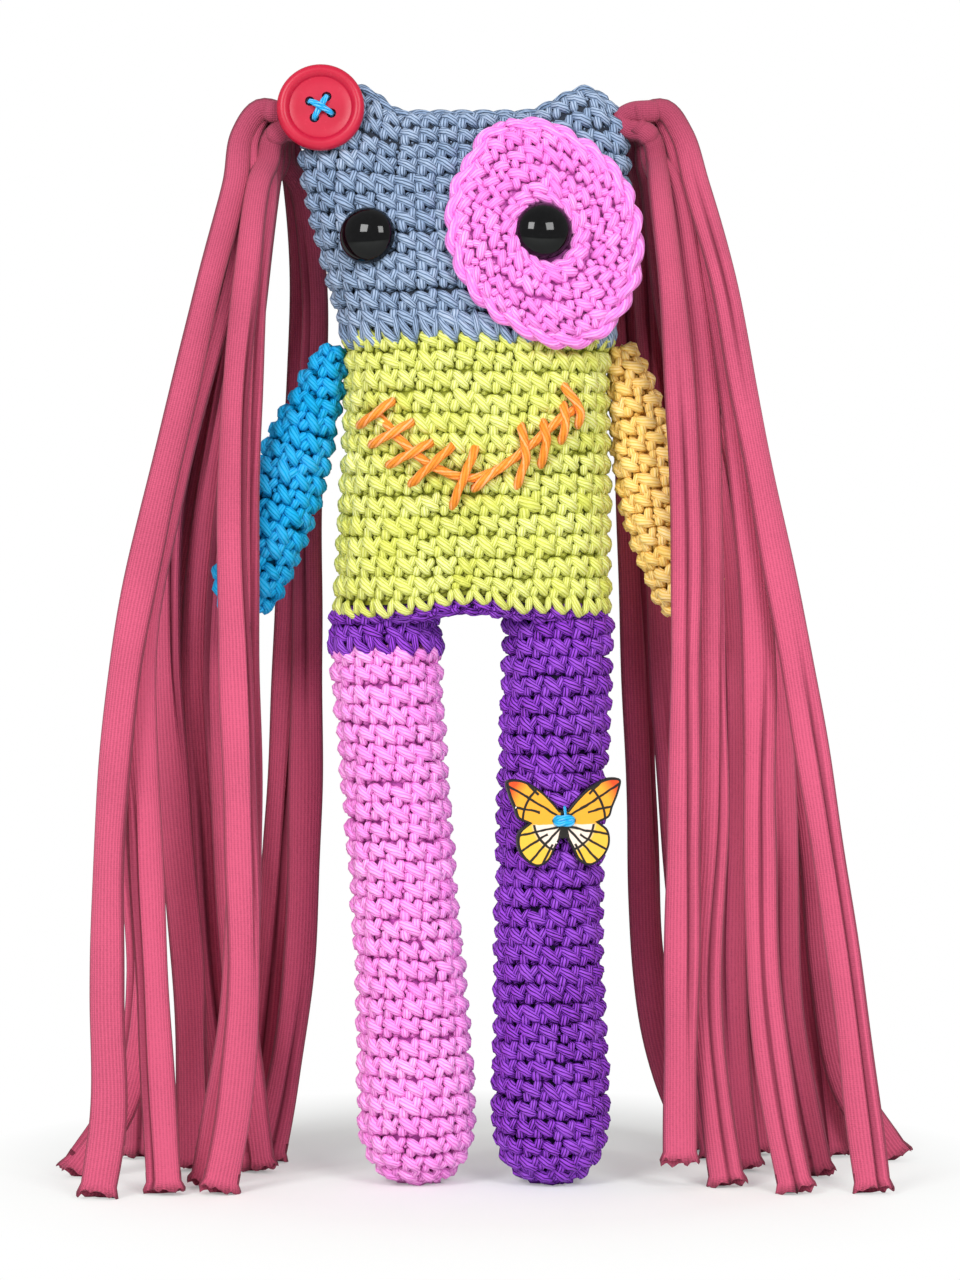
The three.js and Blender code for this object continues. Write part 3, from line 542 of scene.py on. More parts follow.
def frontSeat(place, radius):
    # where a flat round piece comes to rest on the front, and the way it faces
    def at(dx, dz):
        return float(-frontDepth(place[0] + dx, place[1] + dz, 0.97))
    normal = unit(np.array([(at(radius, 0) - at(-radius, 0)) / (2 * radius), -1.0,
                            (at(0, radius) - at(0, -radius)) / (2 * radius)]))
    point = np.array([place[0], at(0, 0), place[1]])
    lift = 0.0
    for k in range(12):
        dx, dz = radius * math.cos(math.pi * k / 6), radius * math.sin(math.pi * k / 6)
        rim = np.array([place[0] + dx, at(dx, dz), place[1] + dz])
        lift = max(lift, float((rim - point) @ normal))
    return point + normal * (lift + 0.3), normal


# Camera, lights and floor
camera = {"place": (1.15, -1280, 220), "target": (1.15, 0, 164.2), "lens": 120}
softBoxes = [
    {"place": (-870, -1500, 1180), "size": 640, "power": 23.0},
    {"place": (780, -1560, 1120), "size": 640, "power": 19.0},
]
lampTarget = (0, 0, 170)
worldStrength = 0.58
paper = {"colour": (0.86, 0.9, 0.865, 1.0), "middle": (0.0, 0.02, 0.0), "fade": (0.09, 0.17),
         "nearWhite": 0.25}  # in metres from the middle it fades to white for the camera


def aim(thing, place, target):
    thing.location = Vector(place) * metre
    thing.rotation_euler = (Vector(target) * metre - thing.location).to_track_quat("-Z", "Y").to_euler()


def buildStage():
    lensData = bpy.data.cameras.new("camera")
    lensData.lens = camera["lens"]
    lensData.sensor_width = 36
    lensData.clip_end = 20
    eyePoint = putInScene("camera", lensData)
    aim(eyePoint, camera["place"], camera["target"])
    bpy.context.scene.camera = eyePoint
    for k, box in enumerate(softBoxes):
        data = bpy.data.lights.new(f"softbox_{k + 1}", "AREA")
        data.shape, data.size, data.energy = "SQUARE", box["size"] * metre, box["power"]
        aim(putInScene(data.name, data), box["place"], lampTarget)
    world = bpy.data.worlds.new("studio")
    bpy.context.scene.world = world
    world.use_nodes = True
    tree = world.node_tree
    plain = tree.nodes["Background"]
    white = tree.nodes.new("ShaderNodeBackground")
    for node, strength in ((plain, worldStrength), (white, 1.0)):
        node.inputs["Color"].default_value = (1, 1, 1, 1)
        node.inputs["Strength"].default_value = strength
    seen = tree.nodes.new("ShaderNodeLightPath")
    either = tree.nodes.new("ShaderNodeMath")
    either.operation = "MAXIMUM"
    mixed = tree.nodes.new("ShaderNodeMixShader")
    for start, end in ((seen.outputs["Is Camera Ray"], either.inputs[0]),
                       (seen.outputs["Is Transmission Ray"], either.inputs[1]),
                       (either.outputs[0], mixed.inputs[0]), (plain.outputs[0], mixed.inputs[1]),
                       (white.outputs[0], mixed.inputs[2]),
                       (mixed.outputs[0], tree.nodes["World Output"].inputs["Surface"])):
        tree.links.new(start, end)
    bpy.context.scene.view_settings.view_transform = "Standard"


def deselectAll():
    bpy.ops.object.select_all(action="DESELECT")


def buildFloor():
    deselectAll()
    bpy.ops.mesh.primitive_circle_add(vertices=64, radius=4, fill_type="NGON")
    floor = bpy.context.object
    floor.name = "floor"
    n = Nodes("floor_paper", Roughness=0.9, Specular_IOR_Level=0.1)
    n.paint(paper["colour"])
    # for the camera the paper turns white away from the doll
    seen = n.add("ShaderNodeLightPath", 0)
    far = n.add("ShaderNodeVectorMath", 1, {"operation": "LENGTH"}, i0=n.placesFrom(paper["middle"]))
    share = n.span(far, *paper["fade"], paper["nearWhite"], 1.0)
    light = n.add("ShaderNodeEmission", Color=(1, 1, 1, 1), Strength=1.0)
    both = n.add("ShaderNodeMixShader", Fac=n.times(seen, share), i1=n.shader.outputs[0], i2=light)
    n.tree.links.new(both, n.tree.nodes["Material Output"].inputs["Surface"])
    floor.data.materials.append(n.material)


buildStage()
buildFloor()
print("stage ready")

# Hair: six jersey strips at each corner, folded in half, so twelve strands a side
hair = {
    "width": 9.4, "thickness": 5.6,
    "widths": [(0, 6.6), (30, 7.3), (90, 8.8), (240, 10.4), (400, 10.8)],  # along a strand, its width there
    "rootThickness": 4.8, "grownAt": (0, 30),
    "sides": 40, "rings": 86, "arch": 42, "archRings": 30,
    "slowSwell": (0.05, 23), "quickSwell": (0.03, 9), "turning": (0.3, 60),  # how much, and how far apart
    "endSlant": 2.0, "slantLength": 9, "endFlare": 0.2, "flareLength": 3.5, "ragged": (1.3, 0.25),
    "fabric": 0.9,
    "hollow": [(0.35, 0.75), (2.0, 0.45), (4.2, 0.25), (7.0, 0.15)],  # depths in the hollow end, and their tones: painted shade deepening inside
    "seamChance": 0.85, "seamDepth": 0.45, "seamWidth": 0.17,  # where the cut edges haven't rolled together
    "seamSpread": 0.9, "seamWander": (0.35, 70), "seamFrom": (20, 60), "seamOpens": 45,
    # painted shade for the seam, the rolled sides, the root and the upper part, and a random spread of tone
    # from strand to strand
    "seamShade": 1.9, "rolledShade": 0.62, "rolledFrom": (0.82, 0.99), "rootShade": 0.4, "rootLength": 36,
    "tones": (0.88, 1.08), "unevenTone": 0.06, "upperTone": 0.8, "lowerGain": 0.22, "lighterAt": (40, 200),
    "frontShy": 1.2,  # the foremost strip starts further back, clear of the button
    "behind": 0.9,  # painted shade: the strands behind are a little darker
    "tipLift": {("right", 1): 7.5}, "liftBelow": 60,  # this strand ends above the table
}
knotPitch, knotBack, strips = 3.4, 4, 6
leftKnot, rightKnot = (-61.2, 320.5), (49.1, 320.5)
columnDepths = [-24, -17.4, 17.4, 24, 30.6, 37.2]
# how far the upper and the lower strand of each strip arch out
archReach, dropReach = [1.0, 0.45, 0.75, 0.95, 0.4, 0.6], [0.3, 0.5, 0.0, -0.5, -1.0, -1.5]
columnsOpenAt, settleFrom = 266, 120
hairHeights = [300, 270, 240, 200, 160, 110, 60, 25, 0]
# Each strand: its place at each of hairHeights and its depth at the tip; a strip's upper strand is first
leftHair = [
    [[-73.5, -80.5, -87.5, -97, -105, -110, -111, -110.5, -114], -29],
    [[-66.5, -69.5, -72.5, -74, -73, -71.5, -71, -74, -78.5], -21],
    [[-70, -76, -84.5, -94.5, -101.5, -100.5, -98, -96, -94.5], -22],
    [[-64.5, -67.5, -69.5, -70.5, -70.5, -70.5, -73, -78.5, -83], -9],
    [[-71.5, -79, -88, -95, -96.5, -94, -90, -89, -88.5], 21],
    [[-64.5, -69, -73, -77.5, -80, -78, -75, -71.5, -68.5], 18],
    [[-73.5, -80.5, -88.5, -97.5, -104.5, -107.5, -104, -109, -124.5], 8],
    [[-65.5, -71, -77.5, -84.5, -88, -86, -83.5, -79, -74.5], 29],
    [[-69.5, -75.5, -83.5, -92, -99, -103.5, -105, -106, -107], 43],
    [[-55, -51.5, -52, -53.5, -54, -54.8, -57, -62, -67], 36],
    [[-67.5, -73, -80, -86, -91, -93, -91, -87, -82.5], 50],
    [[-56.8, -55.6, -56.5, -58.5, -60, -62.5, -66, -70, -74], 53],
]
rightHair = [
    [[63.5, 71, 76.5, 84.5, 92.5, 101, 108.6, 113, 116.4], -21],
    [[52.5, 55.5, 58, 60, 60, 59.6, 59.2, 59, 59], -14],
    [[61.5, 68.5, 73.5, 78.8, 82, 82.4, 84, 88.5, 93.5], -21],
    [[58, 62.5, 65.5, 67, 67.6, 68, 66.4, 70, 73.6], -9],
    [[61, 67.5, 73.5, 81.5, 88, 91, 92, 97, 102], 8],
    [[54.5, 59.5, 66, 72, 75, 76, 75.5, 78, 81], 20],
    [[63.5, 71, 77, 85.5, 93, 100.5, 106, 113, 129], 38],
    [[51, 55.5, 61.5, 68.5, 74, 77.5, 81, 84, 86.5], 50],
    [[59.5, 66, 72.5, 80.5, 89.5, 98, 103.5, 107, 110], 46],
    [[48.5, 50.5, 52.5, 54, 56, 59.5, 64, 68.5, 74], 43],
    [[58, 63.5, 70.5, 79, 88, 96.5, 104, 109.5, 115], 55],
    [[44, 43.5, 44.5, 46, 47.5, 49.5, 52, 59, 69], 57],
]


def strandRoute(knot, column, upper, places, tipDepth, tipLift):
    side = math.copysign(1, places[0])
    rootDepth = knotBack + (column - (strips - 1) / 2) * knotPitch
    r = archReach[column] if upper else dropReach[column]
    # how a strand leaves the knot, outwards and up from its middle
    steps = [(-3, -2.2), (0.6 + 2.2 * r, -6.5), (1.8 + 3.6 * r, -13)]
    if upper:
        steps = [(-3, 0.4), (3.2 + 1.8 * r, 0.4 + 1.6 * r), (6.5 + 4 * r, 2 * r - 7.5)]
    start = rootDepth + (hair["frontShy"] if column == 0 else 0.0)
    points = [(knot[0] + side * across, start, knot[1] + up) for across, up in steps]
    for x, height in zip(places, hairHeights):
        spread = float(softStep(knot[1] - height, 3, knot[1] - columnsOpenAt))
        settle = float(softStep(settleFrom - height, 0, settleFrom))
        depth = rootDepth + (columnDepths[column] - rootDepth) * spread
        lift = tipLift * (1 - float(softStep(height, 0, hair["liftBelow"])))
        points.append((x, depth + (tipDepth - depth) * settle, height + lift))
    return curveThrough(points, 40)


def buildStrand(side, number, knot, strand):
    places, tipDepth = strand
    tipLift = hair["tipLift"].get((side, number), 0.0)
    route = strandRoute(knot, number // 2, number % 2 == 0, places, tipDepth, tipLift)
    whole = lineLengths(route)
    arch = np.linspace(0, hair["arch"], hair["archRings"], endpoint=False)  # closer rings where it arches
    line = pointsAt([*arch, *np.linspace(hair["arch"], whole[-1], hair["rings"])], whole, route)
    along = lineLengths(line)
    left = along[-1] - along
    tangent, across, thick = lineFrame(line, (0, 1, 0))
    grown = softStep(along, *hair["grownAt"])
    own = chance.uniform(0, 2 * math.pi, 5)
    (slow, slowLength), (quick, quickLength) = hair["slowSwell"], hair["quickSwell"]
    swell = 1 + slow * np.sin(along / slowLength + own[0]) + quick * np.sin(along / quickLength + own[1])
    halfWidth = (np.interp(along, *np.array(hair["widths"]).T) / 2 * swell)[:, None]
    thickness = hair["rootThickness"] + (hair["thickness"] - hair["rootThickness"]) * grown
    halfThick = (thickness / 2 / swell)[:, None]
    most, length = hair["turning"]
    turn = most * np.sin(along / length + own[2])[:, None]  # the strand turns a little on its way down
    angle = circle(hair["sides"])
    dent = 0.0
    if chance.random() < hair["seamChance"]:
        spread, (most, length) = hair["seamSpread"], hair["seamWander"]
        wander = most * np.sin(along / length + own[3])[:, None]
        seam = -math.pi / 2 + chance.uniform(-spread, spread) + wander
        away = np.angle(np.exp(1j * (angle - seam)))
        opened = softStep(np.sin(along / hair["seamOpens"] + own[4]), -0.9, 0.0)
        agape = (opened * softStep(along, *hair["seamFrom"]))[:, None]
        dent = hair["seamDepth"] * agape * np.exp(-(away / hair["seamWidth"]) ** 2)
    flare = 1 + hair["endFlare"] * softStep(hair["flareLength"] - left, 0, hair["flareLength"])[:, None]
    wide = halfWidth * np.cos(angle) * (1 - dent) * flare
    deep = halfThick * np.sin(angle) * (1 - dent) * flare
    x = wide * np.cos(turn) - deep * np.sin(turn)
    y = wide * np.sin(turn) + deep * np.cos(turn)
    # the end is cut at a slant and ragged
    facing = -(y * thick[:, None, 1] + x * across[:, None, 1]) / hair["thickness"] * 2
    slant = softStep(hair["slantLength"] - left, 0, hair["slantLength"])[:, None]
    slant = slant * hair["endSlant"] * (0.5 + 0.5 * facing)
    ragged = np.zeros_like(slant)
    wavy, rough = hair["ragged"]
    ragged[-1] = wavy * np.sin(3 * angle + own[0]) * np.sin(5 * angle + own[1])
    ragged[-1] += chance.normal(0, rough, hair["sides"])
    outer = line[:, None] + across[:, None] * x[..., None] + thick[:, None] * y[..., None]
    rings = [outer - (slant + ragged)[..., None] * tangent[:, None]]
    # and hollow: the wall turns in at the rim and goes back up inside, with painted shade that deepens
    # inside
    depths, hollowTones = np.array(hair["hollow"]).T
    for depth in depths:
        row = int(np.argmin(np.abs(left - depth)))
        inX = x[-1] * (1 - hair["fabric"] / halfWidth[row])
        inY = y[-1] * (1 - hair["fabric"] / halfThick[row])
        up = depth + slant[-1] * (1 - depth / depths[-1])
        rings.append((line[-1] + across[-1] * inX[:, None] + thick[-1] * inY[:, None]
                      - tangent[-1] * up[:, None])[None])
    # painted shade: darker at the knot, along the rolled sides, in the seam, towards the top and on the
    # strands behind
    rolled = softStep(np.abs(np.cos(angle)), *hair["rolledFrom"])
    tones = (1 + hair["unevenTone"] * np.sin(angle + own[0])) * (1 - hair["rolledShade"] * rolled)
    tones = tones * chance.uniform(*hair["tones"]) * (1 - hair["seamShade"] * dent)
    tones = tones * (1 - hair["rootShade"] * (1 - softStep(along, 0, hair["rootLength"])))[:, None]
    tones = tones * (hair["upperTone"] + hair["lowerGain"] * softStep(along, *hair["lighterAt"]))[:, None]
    if number > 3:
        tones = tones * hair["behind"]
    tones = np.vstack([tones, np.outer(hollowTones, np.ones(hair["sides"]))])
    fabric = newFabric()
    addRings(fabric, np.concatenate(rings), tones, np.concatenate([along, along[-1] + depths]))
    piece = finishPiece(fabric, f"strand_{side}_{number + 1}", "hair_jersey", f"pigtail_{side}",
                        f"hair_{side}_{number + 1}")


for side, knot, strands in (("left", leftKnot, leftHair), ("right", rightKnot, rightHair)):
    for number, strand in enumerate(strands):
        buildStrand(side, number, knot, strand)
print("hair ready")

# Knots: each strip goes through the corner of the head as a loop, from its lower strand to its upper one
# painted shade: the loops are darker than the strands where they wrap round the head's corner
knotLoops = {"path": [(2.4, -7.5), (-1.2, -4.2), (-5.6, -3.0), (-7.2, -0.6), (-4.6, 1.2), (0.4, 1.6),
                      (4.6, 1.6)],
             "half": 3.3, "breadth": 2.3, "behind": 3.5, "sides": 20, "rings": 40, "tone": 0.52}


def buildKnot(side, knot, towards):
    fabric = newFabric()
    angle = circle(knotLoops["sides"])
    out, up = evenLine(curveThrough(knotLoops["path"]), knotLoops["rings"]).T
    for k in range(strips):
        depth = knotBack + (k - (strips - 1) / 2) * knotPitch
        # the two foremost loops go further back at the head
        behind = knotLoops["behind"] * np.clip(-out / 7, 0, 1) * max(0.0, 1 - k / 2)
        back = depth + behind + 0.3 * np.sin(up + k)
        line = np.stack([knot[0] + towards * out, back, knot[1] + up], axis=1)
        along = lineLengths(line)
        _, across, thick = lineFrame(line, (0, 1, 0))
        ends = np.sqrt(np.clip((np.minimum(along, along[-1] - along) + 0.3) / 2.5, 0, 1))[:, None]
        rings = tube(line, across, thick, knotLoops["half"] * ends, knotLoops["breadth"] * ends, angle)
        addRings(fabric, rings, knotLoops["tone"], along)
    finishPiece(fabric, f"knot_{side}", "hair_jersey", f"pigtail_{side}", f"hair_knot_{side}")


buildKnot("left", leftKnot, -1)
buildKnot("right", rightKnot, 1)
print("knots ready")

# Head, torso and hip row, each worked on the form of the pouch
pouch = {
    "stitchesAround": 36, "lean": 0.08, "columns": 144,
    # rows of stitches, how many rows high the piece is, where the first row lies, and the hanging
    # loops below it: where, how high and how deep
    "head": (12, 12, 0.52, (0.06, 1.5, 1.1)),
    "torso": (13, 13.6, 1.1, (0.3, 1.0, 1.6)),
    "torsoStart": 173, "wall": 4.2,
    "arch": 3.2, "archMiddle": -4, "archWidth": 15, "archUnder": 186,
    "hipUnder": 169.8, "hipTop": 175, "hipInsets": (17.5, 1.5), "hipGround": 2.4, "hipTight": 0.95,
    "hipSink": 2.4, "hipSide": 5.6, "hipSideSink": 3.5,  # the row that shows from the side lies deeper
    "seamPitch": 12.6, "seamYarn": 1.4, "seamSpread": (1.3, 0.9), "seamSunk": 1.0,
    "fill": {"head": 0.7, "torso": 0.8, "hip": 0.8},
    # the stuffing's rounded ends: heights, and how much less it measures there
    "fillLow": [(176.5, 6), (176.9, 1.5), (178, 0)], "fillHigh": [(313, 1.5), (313.4, 3)],
}


def arched(ring):
    # the lower edge rises between the legs
    rise = pouch["arch"] * np.exp(-((ring[:, 0] - pouch["archMiddle"]) / pouch["archWidth"]) ** 2)
    rise = rise * softStep(pouch["archUnder"] - ring[:, 2], 0, 12)
    return ring + rise[:, None] * np.array([0, 0, 1])


def layPouchRows(fabric, form, rows, rowsHigh, first, hanging):
    height = form["along"][-1] / rowsHigh
    at, high, sink = hanging
    layRow(fabric, form, "hanging", at * height, high * height, pouch["stitchesAround"], sink=sink)
    for k in range(rows):
        layRow(fabric, form, "cross", (k + first) * height, height, pouch["stitchesAround"],
               shift=pouch["lean"] * k)


def laySeam(fabric, top):
    # the seam that closes the top runs from corner to corner like a chain
    count = len(top)
    line = evenLine(np.array([(top[j % count] + top[(count // 2 - j) % count]) / 2
                              for j in range(count // 4, -count // 4, -1)]), 120)
    wave = 2 * math.pi * lineLengths(line) / pouch["seamPitch"]
    spreadBack, spreadUp = pouch["seamSpread"]
    for phase in (0, math.pi):
        back = spreadBack * np.cos(wave + phase)
        up = spreadUp * np.sin(wave + phase) - pouch["seamSunk"]
        rope = line + np.stack([0 * wave, back, up], axis=1)
        addYarn(fabric, rope[::2], pouch["seamYarn"], spacing=1.0, sides=10, reference=(0, 0, 1))


def buildPouch():
    heights = [*np.arange(neckLine, pouchTop, 1.0), pouchTop]
    head = makeForm([pouchRing(h) for h in heights], pouch["columns"])
    fabric = newFabric()
    thin = np.array([levelAt(pouchLevels, h)[2] for h in heights])
    layGround(fabric, head, depth=np.minimum(stitch["groundDepth"], 0.12 * thin + 0.9))
    layPouchRows(fabric, head, *pouch["head"])
    laySeam(fabric, head["grid"][-1])
    finishPiece(fabric, "head", "yarn_grey_blue", "body", "head_skin")

    rings = [arched(pouchRing(h)) for h in np.linspace(pouch["torsoStart"], neckLine, 80)]
    torso = makeForm(rings, pouch["columns"])
    fabric = newFabric()
    layGround(fabric, torso)
    layPouchRows(fabric, torso, *pouch["torso"])
    finishPiece(fabric, "torso", "yarn_lime", "body", "torso_skin")

    # the stuffing follows the raised edge
    levels = [*pouch["fillLow"], *[(h, 0) for h in np.linspace(182, 312, 40)], *pouch["fillHigh"]]
    rings = [evenRing(arched(pouchRing(h, pouch["wall"] + less)), 96)[0] for h, less in levels]
    fillWith(np.array(rings), "pouch_filling", "body", "body_stuffing")

    under = pouch["hipUnder"]
    rings = [pouchRing(pouchBottom, inset) + np.array([0, 0, under - pouchBottom])
             for inset in np.linspace(*pouch["hipInsets"], 14)]
    rings += [pouchRing(h) for h in np.linspace(under + 0.4, pouch["hipTop"], 5)]
    band = makeForm([arched(ring) for ring in rings], pouch["columns"])
    fabric = newFabric()
    layGround(fabric, band, depth=pouch["hipGround"])
    whole, side = band["along"][-1], pouch["hipSide"]
    layRow(fabric, band, "cross", whole - side / 2 - 0.4, side, pouch["stitchesAround"],
           sink=pouch["hipSideSink"])
    crochet(fabric, band, 2.0, whole - side + 0.2, 2, tight=pouch["hipTight"], sink=pouch["hipSink"])
    finishPiece(fabric, "hip_row", "yarn_purple", "body", "hip_band")


buildPouch()
print("pouch ready")


def buildLimb(name, limb, form, inner, slot, bodies):
    # a limb's skin, in rounds from its tip up, and the stuffing inside it
    fabric = newFabric()
    layGround(fabric, form)
    length = form["along"][-1]
    low, high = limb["bareEnds"]
    crochet(fabric, form, low, length - high, round(length / stitch["rowHeight"]), lean=limb["lean"],
            sink=limb["sink"])
    finishPiece(fabric, name, slot, bodies, f"{name}_skin")
    rings = inner["grid"] - inner["out"] * limb["wall"]
    fillWith(rings, f"{name}_filling", bodies, f"{name}_stuffing")


# Legs: height, middle and half width, with a rounded foot
leftLeg = np.array([[24, -19.8, 17.2], [42, -20.4, 16.7], [64, -21.8, 15.9], [90, -23.8, 15.5],
                    [120, -26.2, 15.6], [150, -28.6, 16], [170, -29.4, 16.2]])
rightLeg = np.array([[24, 20.7, 17.2], [42, 20.4, 16.7], [64, 20, 15.9], [90, 20.1, 15.6],
                     [120, 20.9, 15.8], [150, 22.2, 16.1], [172, 22.8, 16.2]])
leg = {
    "footHeight": 21, "footSquareness": 2.25, "soleCut": 0.4, "top": 171, "cuff": 163.2, "bend": (168, 136),
    "columns": 96, "bareEnds": (1.5, 0), "lean": 0.16, "sink": stitch["sink"], "fill": 0.85, "wall": 4.4,
    "fillTop": 168,
    # the rows over the pink: kind, place up the cuff, height, number of stitches and depth
    "cuffRows": [("hanging", 0.4, 7.4, 15, 1.1), ("cross", 3.2, 5.6, 16, 2.3), ("cross", 8.0, 5.0, 16, 2.3)],
}


def legForm(levels, low, high):
    angle = circle(leg["columns"], math.pi / 2)
    middle, width = levels[0, 1], levels[0, 2]
    shares = np.concatenate([np.linspace(0.06, 0.8, 12), [0.85, 0.9, 0.94, 0.97, 0.985, 0.996]])
    power = leg["footSquareness"]
    rises = leg["footHeight"] * (1 - (1 - shares ** power) ** (1 / power)) - leg["soleCut"]
    rounds = [(middle, width * t, max(rise, 0.0)) for t, rise in zip(shares, rises)] if low == 0 else []
    start = max(low, leg["footHeight"])
    rounds += [(*levelAt(levels, h), h) for h in np.linspace(start, high, int((high - start) / 1.5) + 2)]
    return makeForm([np.stack([c + r * np.cos(angle), r * np.sin(angle), np.full(len(angle), h)], axis=1)
                     for c, r, h in rounds], leg["columns"])


def bendOf(side, middle):
    x, y = (middle + stand[0]) * metre, stand[1] * metre
    high, low = leg["bend"]
    return "body", f"leg_{side}", (x, y, high * metre), (x, y, low * metre)


def buildLegs():
    for side, levels, slot, top in (("left", leftLeg, "yarn_pink", leg["cuff"]),
                                    ("right", rightLeg, "yarn_purple", leg["top"])):
        form, inner = legForm(levels, 0, top), legForm(levels, 0, leg["fillTop"])
        buildLimb(f"leg_{side}", leg, form, inner, slot, bendOf(side, levels[-2, 1]))
    cuff = legForm(leftLeg, leg["cuff"], leg["top"])
    fabric = newFabric()
    layGround(fabric, cuff)
    for kind, along, height, count, sink in leg["cuffRows"]:
        layRow(fabric, cuff, kind, along, height, count, sink=sink)
    joint = bendOf("left", leftLeg[-2, 1])
    finishPiece(fabric, "leg_left_top_row", "yarn_purple", joint, "leg_left_cuff")


buildLegs()
print("legs ready")

# Arms: distance down from the shoulder and half width
armLevels = np.array([[0, 5.4], [10, 7.1], [26, 10.0], [42, 11.3], [57, 11.3], [66, 10.6]])
arm = {"shoulder": 246, "cap": 6.6, "hand": 14, "columns": 72,
       "bareEnds": (1.0, 0.4), "lean": 0.16, "sink": 2.0, "fill": 0.7, "wall": 4.2,
       "left": {"pivot": -46.4, "tilt": 20.5, "bow": 0.4},
       "right": {"pivot": 43.4, "tilt": 16.3, "bow": 2}}


def buildArms():
    angle = circle(arm["columns"], math.pi / 2)
    lastDown, lastWidth = armLevels[-1]
    hand, cap = np.radians(np.linspace(6, 86, 12)), np.radians(np.linspace(10, 84, 8))
    downs = np.linspace(lastDown, 0, 48)
    rounds = [(lastDown + arm["hand"] * math.cos(a), lastWidth * math.sin(a)) for a in hand]
    rounds += list(zip(downs, *levelAt(armLevels, downs)))
    rounds += [(-arm["cap"] * math.sin(a), armLevels[0, 1] * math.cos(a)) for a in cap]
    for side, towards, slot in (("left", 1, "yarn_blue"), ("right", -1, "yarn_amber")):
        own = arm[side]
        tilt = math.radians(towards * own["tilt"])
        rings = []
        for down, radius in rounds:
            share = min(max(down, 0), lastDown) / (lastDown + arm["hand"])
            x = towards * own["bow"] * math.sin(math.pi * share) + radius * np.cos(angle)
            rings.append(np.stack([own["pivot"] + x * math.cos(tilt) - down * math.sin(tilt),
                                   radius * np.sin(angle),
                                   arm["shoulder"] - x * math.sin(tilt) - down * math.cos(tilt)], axis=1))
        form = makeForm(rings, arm["columns"])
        buildLimb(f"arm_{side}", arm, form, form, slot, f"arm_{side}")


buildArms()
print("arms ready")

# Eye patch: an oval worked in rounds from the eye outwards, with a braided rim
patch = {
    "centre": (18.8, 285.3), "half": (28.4, 34), "reach": 31, "tilt": 20, "bend": 0.8, "clear": 0.6,
    # painted shade: the patch's stitches are a little darker than the same pink yarn on the leg, and its
    # ground darker still
    "rounds": 4, "between": (0.31, 0.93), "lean": 0.2, "tight": 1.16, "sink": 1.5, "tone": 0.91,
    "groundShadeTone": 0.35, "groundDepth": 1.7, "fill": 0.5,
    # the rim and the opening: share of the oval, height, number of links and radius of the yarn
    "chains": [(0.955, 2.9, 11, 1.6), (0.315, 2.7, 7, 1.15)],
    "profile": [(0.04, 1.9), (0.2, 1.9), (0.27, 2.2), (0.34, 3.0), (0.45, 3.8), (0.6, 4.3), (0.78, 4.7),
                (0.9, 4.6), (0.97, 3.6), (1.0, 2.2), (0.99, 0.9), (0.95, 0.1)],
    # the oval isn't even: degrees round from the top, and how far the edge reaches there
    "edge": [(0, 1.035), (25, 0.985), (42, 0.93), (78, 0.955), (115, 0.94), (150, 0.97), (172, 1.02),
             (190, 1.01), (222, 0.925), (261, 0.97), (278, 0.985), (315, 0.97), (332, 0.955), (343, 1.03),
             (352, 1.05), (360, 1.035)],
}


def patchPoint(turn, share, height):
    tilt = math.radians(patch["tilt"])
    edge = np.interp(np.degrees(turn) % 360, *np.array(patch["edge"]).T)
    reach = share * (1 + (edge - 1) * share ** 2)
    across = patch["half"][0] * reach * np.sin(turn)
    up = patch["half"][1] * reach * np.cos(turn)
    x = patch["centre"][0] + across * math.cos(tilt) - up * math.sin(tilt)
    z = patch["centre"][1] + across * math.sin(tilt) + up * math.cos(tilt)
    return np.stack([x, -frontDepth(x, z, patch["bend"]) - patch["clear"] - height, z], axis=-1)


def buildPatch():
    profile = np.array(patch["profile"])
    side = profile * [patch["reach"], 1]
    steps = evenLine(np.column_stack([side, profile]), 40)[:, 2:]
    form = makeForm([patchPoint(circle(160), share, height) for share, height in steps], 120)
    fabric = newFabric()
    layGround(fabric, form, patch["groundShadeTone"], patch["groundDepth"])
    growing = np.argmax(steps[:, 0]) + 1
    start, rim = np.interp(patch["between"], steps[:growing, 0], form["along"][:growing])
    crochet(fabric, form, start, rim, patch["rounds"], lean=patch["lean"], sink=patch["sink"],
            tight=patch["tight"], tone=patch["tone"])
    # chains of long slanting links
    around = np.linspace(0, 2 * math.pi, 181)
    for share, height, links, yarn in patch["chains"]:
        edge = patchPoint(around, share, height)
        outward = unit(edge - patchPoint(around, share / 2, height))
        along = lineLengths(edge)
        wave = 2 * math.pi * along / (along[-1] / links)
        for phase in (0, math.pi):
            rope = edge + outward * (0.9 * yarn * np.cos(wave + phase))[:, None]
            rope[:, 1] -= 0.75 * yarn * np.sin(wave + phase)
            addYarn(fabric, rope[::3], yarn, spacing=1.0, sides=10)
    finishPiece(fabric, "patch", "yarn_pink", "body", "eye_patch")


buildPatch()
print("patch ready")

# Mouth: a line of yarn with cross stitches over it
mouth = {"radius": 1.3, "stand": 1.7, "over": 1.5, "sunk": -1.0}
mouthLine = [[-31.7, 232.8], [-23.3, 223.2], [-14, 216], [-3.4, 213], [3.8, 215.1], [13.7, 222.3],
             [24.5, 231.6], [29, 234]]
mouthStitches = [
    [[-36.8, 228.3], [-26.3, 235.8]], [[-33.2, 222.6], [-20.6, 229.5]], [[-28, 216.6], [-14.9, 223.5]],
    [[-21.5, 210.9], [-8.6, 222.6]], [[-9.2, 204], [-1.7, 222.6]], [[-2.6, 209.7], [4.4, 215.7]],
    [[9.8, 209.7], [12.8, 219], [11.3, 228.9]], [[17, 216.3], [18.8, 223.2], [17.9, 229.8]],
    [[23, 223.5], [24.5, 228.3], [23.9, 234.9]], [[28.1, 228.3], [29, 232.5], [23.6, 240.9]],
]


